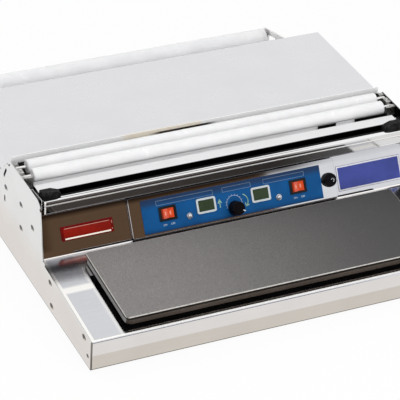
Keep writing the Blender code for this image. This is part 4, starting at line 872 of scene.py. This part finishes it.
def label():
    """The flat label on the right of the fascia, blue in a white border, left bare."""
    out = LIFT
    for name, look, (width, height, sheet, corner) in (
            ("label_edge", LABEL_EDGE, LABEL_EDGE_SHEET),
            ("label_border", LABEL_WHITE, LABEL_BORDER_SHEET),
            ("label_face", LABEL_BLUE, LABEL_FACE_SHEET)):
        bm = bmesh.new()
        slab(bm, (width, height, sheet), (*LABEL_MIDDLE, out), corner)
        laid(bm, name, look)
        out += sheet


def rail_crease():
    """The shallow rolled line along the rail's face."""
    bm = bmesh.new()
    verts = bmesh.ops.create_cone(bm, cap_ends=True, segments=20, radius1=1.0, radius2=1.0,
                                  depth=1.0)["verts"]
    lying = Matrix.Rotation(math.radians(90), 3, "Y")
    bmesh.ops.rotate(bm, cent=(0, 0, 0), matrix=lying, verts=verts)
    bmesh.ops.scale(bm, vec=CREASE_SIZE, verts=verts)
    bmesh.ops.translate(bm, vec=CREASE_MIDDLE, verts=verts)
    collect(bm, "rail_crease", BRIGHT)


def film_flange():
    """The narrow fold behind the film plate; its finish paints the shade in the gaps on the right.
    """
    bm = bmesh.new()
    for size, middle in (FLANGE_WEB, FLANGE_LEG):
        verts = bmesh.ops.create_cube(bm, size=1.0)["verts"]
        bmesh.ops.scale(bm, vec=size, verts=verts)
        bmesh.ops.translate(bm, vec=middle, verts=verts)
    collect(bm, "film_flange", FLANGE)


def cap_glint():
    """A painted glint on the rim of the moulded dimple in the fuse cap."""
    bm = bmesh.new()
    rim = [CAP_GLINT_MIDDLE + CAP_GLINT_RADIUS * ray(degrees) for degrees in CAP_GLINT_DEGREES]
    chain(bm, rim, CAP_GLINT_WIDTH, CAP_TOP, CAP_GLINT_SHEET)
    laid(bm, "fuse_cap_glint", WHITE_INK_AND_GLINT, "fuse_cap")


def overlay_boxes():
    """The ruled boxes along the overlay's head."""
    bm = bmesh.new()
    for left, right in BOX_SPANS:
        outline_box(bm, left, right, BOX_FOOT, BOX_HEAD, BOX_LINE, OVERLAY_OUT)
    laid(bm, "overlay_boxes", PALE_LINE)


def knob_scale():
    """The arc over the knob and its ticks."""
    bm = bmesh.new()
    arc = [SCALE_MIDDLE + SCALE_RADIUS * ray(SCALE_START + step * SCALE_SWEEP / SCALE_STEPS)
           for step in range(SCALE_STEPS + 1)]
    chain(bm, arc, SCALE_LINE, OVERLAY_OUT)
    for step in range(TICKS):
        way = ray(SCALE_START + step * TICK_STEP)
        stroke(bm, SCALE_MIDDLE + SCALE_RADIUS * way, SCALE_MIDDLE + SCALE_TICK_END * way,
               SCALE_LINE, OVERLAY_OUT)
    laid(bm, "knob_scale", WHITE_INK_AND_GLINT)


def overlay_arrows():
    """The straight arrow on the left of the knob and the bent one on its right."""
    bm = bmesh.new()
    stroke(bm, (ARROW_X, ARROW_FOOT), (ARROW_X, ARROW_HEAD), ARROW_LINE, OVERLAY_OUT)
    for aside in (-BARB_ASIDE, BARB_ASIDE):
        stroke(bm, (ARROW_X + aside, BARB_FOOT), (ARROW_X, ARROW_TIP), BARB_LINE, OVERLAY_OUT)
    bend = [BEND_MIDDLE + ray(degrees) * BEND_RADII for degrees in BEND_DEGREES]
    chain(bm, bend, ARROW_LINE, OVERLAY_OUT)
    for barb in BEND_BARBS:
        stroke(bm, bend[-1], bend[-1] + barb, ARROW_LINE, OVERLAY_OUT)
    laid(bm, "overlay_arrows", GREEN_INK)


def word(text, across, name):
    """A short generic word printed on the overlay."""
    curve = bpy.data.curves.new(name, "FONT")
    curve.body = text
    curve.size = WORD_HEIGHT
    curve.align_x = "CENTER"
    curve.align_y = "CENTER"
    curve.extrude = PRINT_SHEET / 2
    drawn = bpy.data.objects.new(name, curve)
    bpy.context.scene.collection.objects.link(drawn)
    bpy.context.view_layer.update()
    graph = bpy.context.evaluated_depsgraph_get()
    mesh = bpy.data.meshes.new_from_object(drawn.evaluated_get(graph))
    bpy.data.objects.remove(drawn, do_unlink=True)
    bm = bmesh.new()
    bm.from_mesh(mesh)
    bpy.data.meshes.remove(mesh)
    bmesh.ops.translate(bm, vec=(across, WORD_UP, OVERLAY_OUT + PRINT_SHEET), verts=bm.verts)
    laid(bm, name, WHITE_INK_AND_GLINT)


def switch_words():
    """ON and OFF under both switches."""
    for side, middle in (("left", -SWITCH_X), ("right", SWITCH_X)):
        word("ON", middle - WORD_ASIDE, "on_" + side)
        word("OFF", middle + WORD_ASIDE, "off_" + side)


def pointer():
    """The white line on the knob."""
    bm = bmesh.new()
    stroke(bm, KNOB_MIDDLE + POINTER_START, KNOB_MIDDLE + POINTER_END, POINTER_WIDTH,
           KNOB_TOP - POINTER_SINK, POINTER_SHEET)
    laid(bm, "knob_pointer", WHITE_INK_AND_GLINT, "knob")


# Studio
def seen_as(look, colour, strength, rays):
    """The share of the view that the given rays have, and the glow that they see."""
    share = look.add("ShaderNodeLightPath", {}, {}, rays[0])
    for ray_kind in rays[1:]:
        share = look.larger(share, look.add("ShaderNodeLightPath", {}, {}, ray_kind))
    glow = look.add("ShaderNodeEmission", {}, {"Color": colour, "Strength": strength})
    return share, glow


def staged(bm, name, look):
    """A floor or card of the studio, which isn't part of the machine."""
    mesh = bpy.data.meshes.new(name)
    bm.to_mesh(mesh)
    bm.free()
    mesh.materials.append(look.material)
    thing = bpy.data.objects.new(name, mesh)
    bpy.context.scene.collection.objects.link(thing)


def floor():
    """A pale floor that reads white and keeps the shadow; reflections see it tinted, with painted
    contact shade near the machine.
    """
    look = Look("studio_floor", (0.85, 0.85, 0.85), 0.9)
    across = look.axis(look.place(), "X")
    ahead = look.axis(look.place(), "Y")
    front = look.below(ahead, *FLOOR_FRONT) * look.ramp(across, *FLOOR_RIGHT)
    # In reflections the floor in front is warmer, with a painted contact shade close to the front
    # and to the right side
    warm = front * look.ramp(ahead, *FLOOR_WARM)
    colour = look.mix(warm, WHITE, (1.10, 1.04, 0.97))
    near = front * look.ramp(ahead, *FLOOR_NEAR)
    colour = look.mix(near, colour, (0.92, 0.84, 0.73))
    beside = look.ramp(across, *FLOOR_BESIDE) * look.below(across, *FLOOR_RIGHT)
    colour = look.mix(beside, colour, (0.93, 0.88, 0.84))
    share, glow = seen_as(look, colour, 1.0, ("Is Glossy Ray", "Is Transmission Ray"))
    camera, white = seen_as(look, WHITE, 1.0, ("Is Camera Ray",))
    plain = Field(look, look.shader.outputs[0])
    base = look.add("ShaderNodeMixShader", {}, {0: camera * FLOOR_GLARE, 1: plain, 2: white})
    full = look.add("ShaderNodeMixShader", {}, {0: share, 1: base, 2: glow})
    look.feed(look.end.inputs["Surface"], full)
    bm = bmesh.new()
    bmesh.ops.create_grid(bm, x_segments=8, y_segments=8, size=FLOOR_SIZE)
    staged(bm, "studio_floor", look)


def card(name, colour, width, height, place, towards):
    """A flat card that only shows in polished metal."""
    look = Look(name)
    share, glow = seen_as(look, colour, 1.0, ("Is Glossy Ray",))
    clear = look.add("ShaderNodeBsdfTransparent", {}, {})
    shown = look.add("ShaderNodeMixShader", {}, {0: share, 1: clear, 2: glow})
    look.feed(look.end.inputs["Surface"], shown)
    bm = bmesh.new()
    bmesh.ops.create_grid(bm, x_segments=4, y_segments=4, size=0.5)
    bmesh.ops.scale(bm, vec=(width, height, 1), verts=bm.verts)
    facing = (Vector(towards) - Vector(place)).to_track_quat("Z", "Y").to_matrix().to_4x4()
    facing.translation = place
    bmesh.ops.transform(bm, matrix=facing, verts=bm.verts)
    staged(bm, name, look)


def lamp(name, power, width, height, place):
    """A soft rectangular lamp, aimed at the machine and left out of its reflections."""
    light = bpy.data.lights.new(name, "AREA")
    light.shape = "RECTANGLE"
    light.energy = power
    light.size = width
    light.size_y = height
    thing = bpy.data.objects.new(name, light)
    thing.visible_glossy = False
    bpy.context.scene.collection.objects.link(thing)
    thing.location = place
    thing.rotation_euler = (Vector(AIM) - Vector(place)).to_track_quat("-Z", "Y").to_euler()


def surroundings():
    """A white world, full for camera and glossy rays and dimmer as a light."""
    world = bpy.data.worlds.new("studio")
    world.use_nodes = True
    bpy.context.scene.world = world
    tree = world.node_tree
    back = tree.nodes["Background"]
    path = tree.nodes.new("ShaderNodeLightPath")
    seen = tree.nodes.new("ShaderNodeMath")
    seen.operation = "MAXIMUM"
    tree.links.new(path.outputs["Is Camera Ray"], seen.inputs[0])
    tree.links.new(path.outputs["Is Glossy Ray"], seen.inputs[1])
    strength = tree.nodes.new("ShaderNodeMapRange")
    strength.inputs["To Min"].default_value = DIM_WORLD
    strength.inputs["To Max"].default_value = 1.0
    tree.links.new(seen.outputs[0], strength.inputs["Value"])
    tree.links.new(strength.outputs[0], back.inputs["Strength"])
    back.inputs["Color"].default_value = (*WHITE, 1)


def studio():
    """White surroundings, soft lamps and the cards that polished metal shows."""
    surroundings()
    floor()
    lamp("key_lamp", 8, 1.4, 0.9, (0.75, -1.65, 1.55))
    lamp("high_lamp", 7, 1.4, 0.9, (0.3, -0.95, 2.1))
    lamp("top_lamp", 10, 1.6, 1.2, (-0.6, 0.7, 1.9))
    lamp("front_lamp", 5, 1.2, 0.3, (-0.1, -1.6, 0.22))
    card("brown_card", (0.138, 0.082, 0.046), 1.92, 0.75, (-0.24, -1.45, 0.60), (-0.24, 0, 0.60))
    card("pale_card", (0.96, 1.0, 1.08), 2.4, 0.95, (0.20, -1.45, 1.48), (0.20, 0, 1.48))


bpy.context.scene.view_settings.view_transform = "Standard"
make_camera()
studio()
dress_solids()
badge()
label()
rail_crease()
film_flange()
cap_glint()
overlay_boxes()
knob_scale()
overlay_arrows()
switch_words()
pointer()
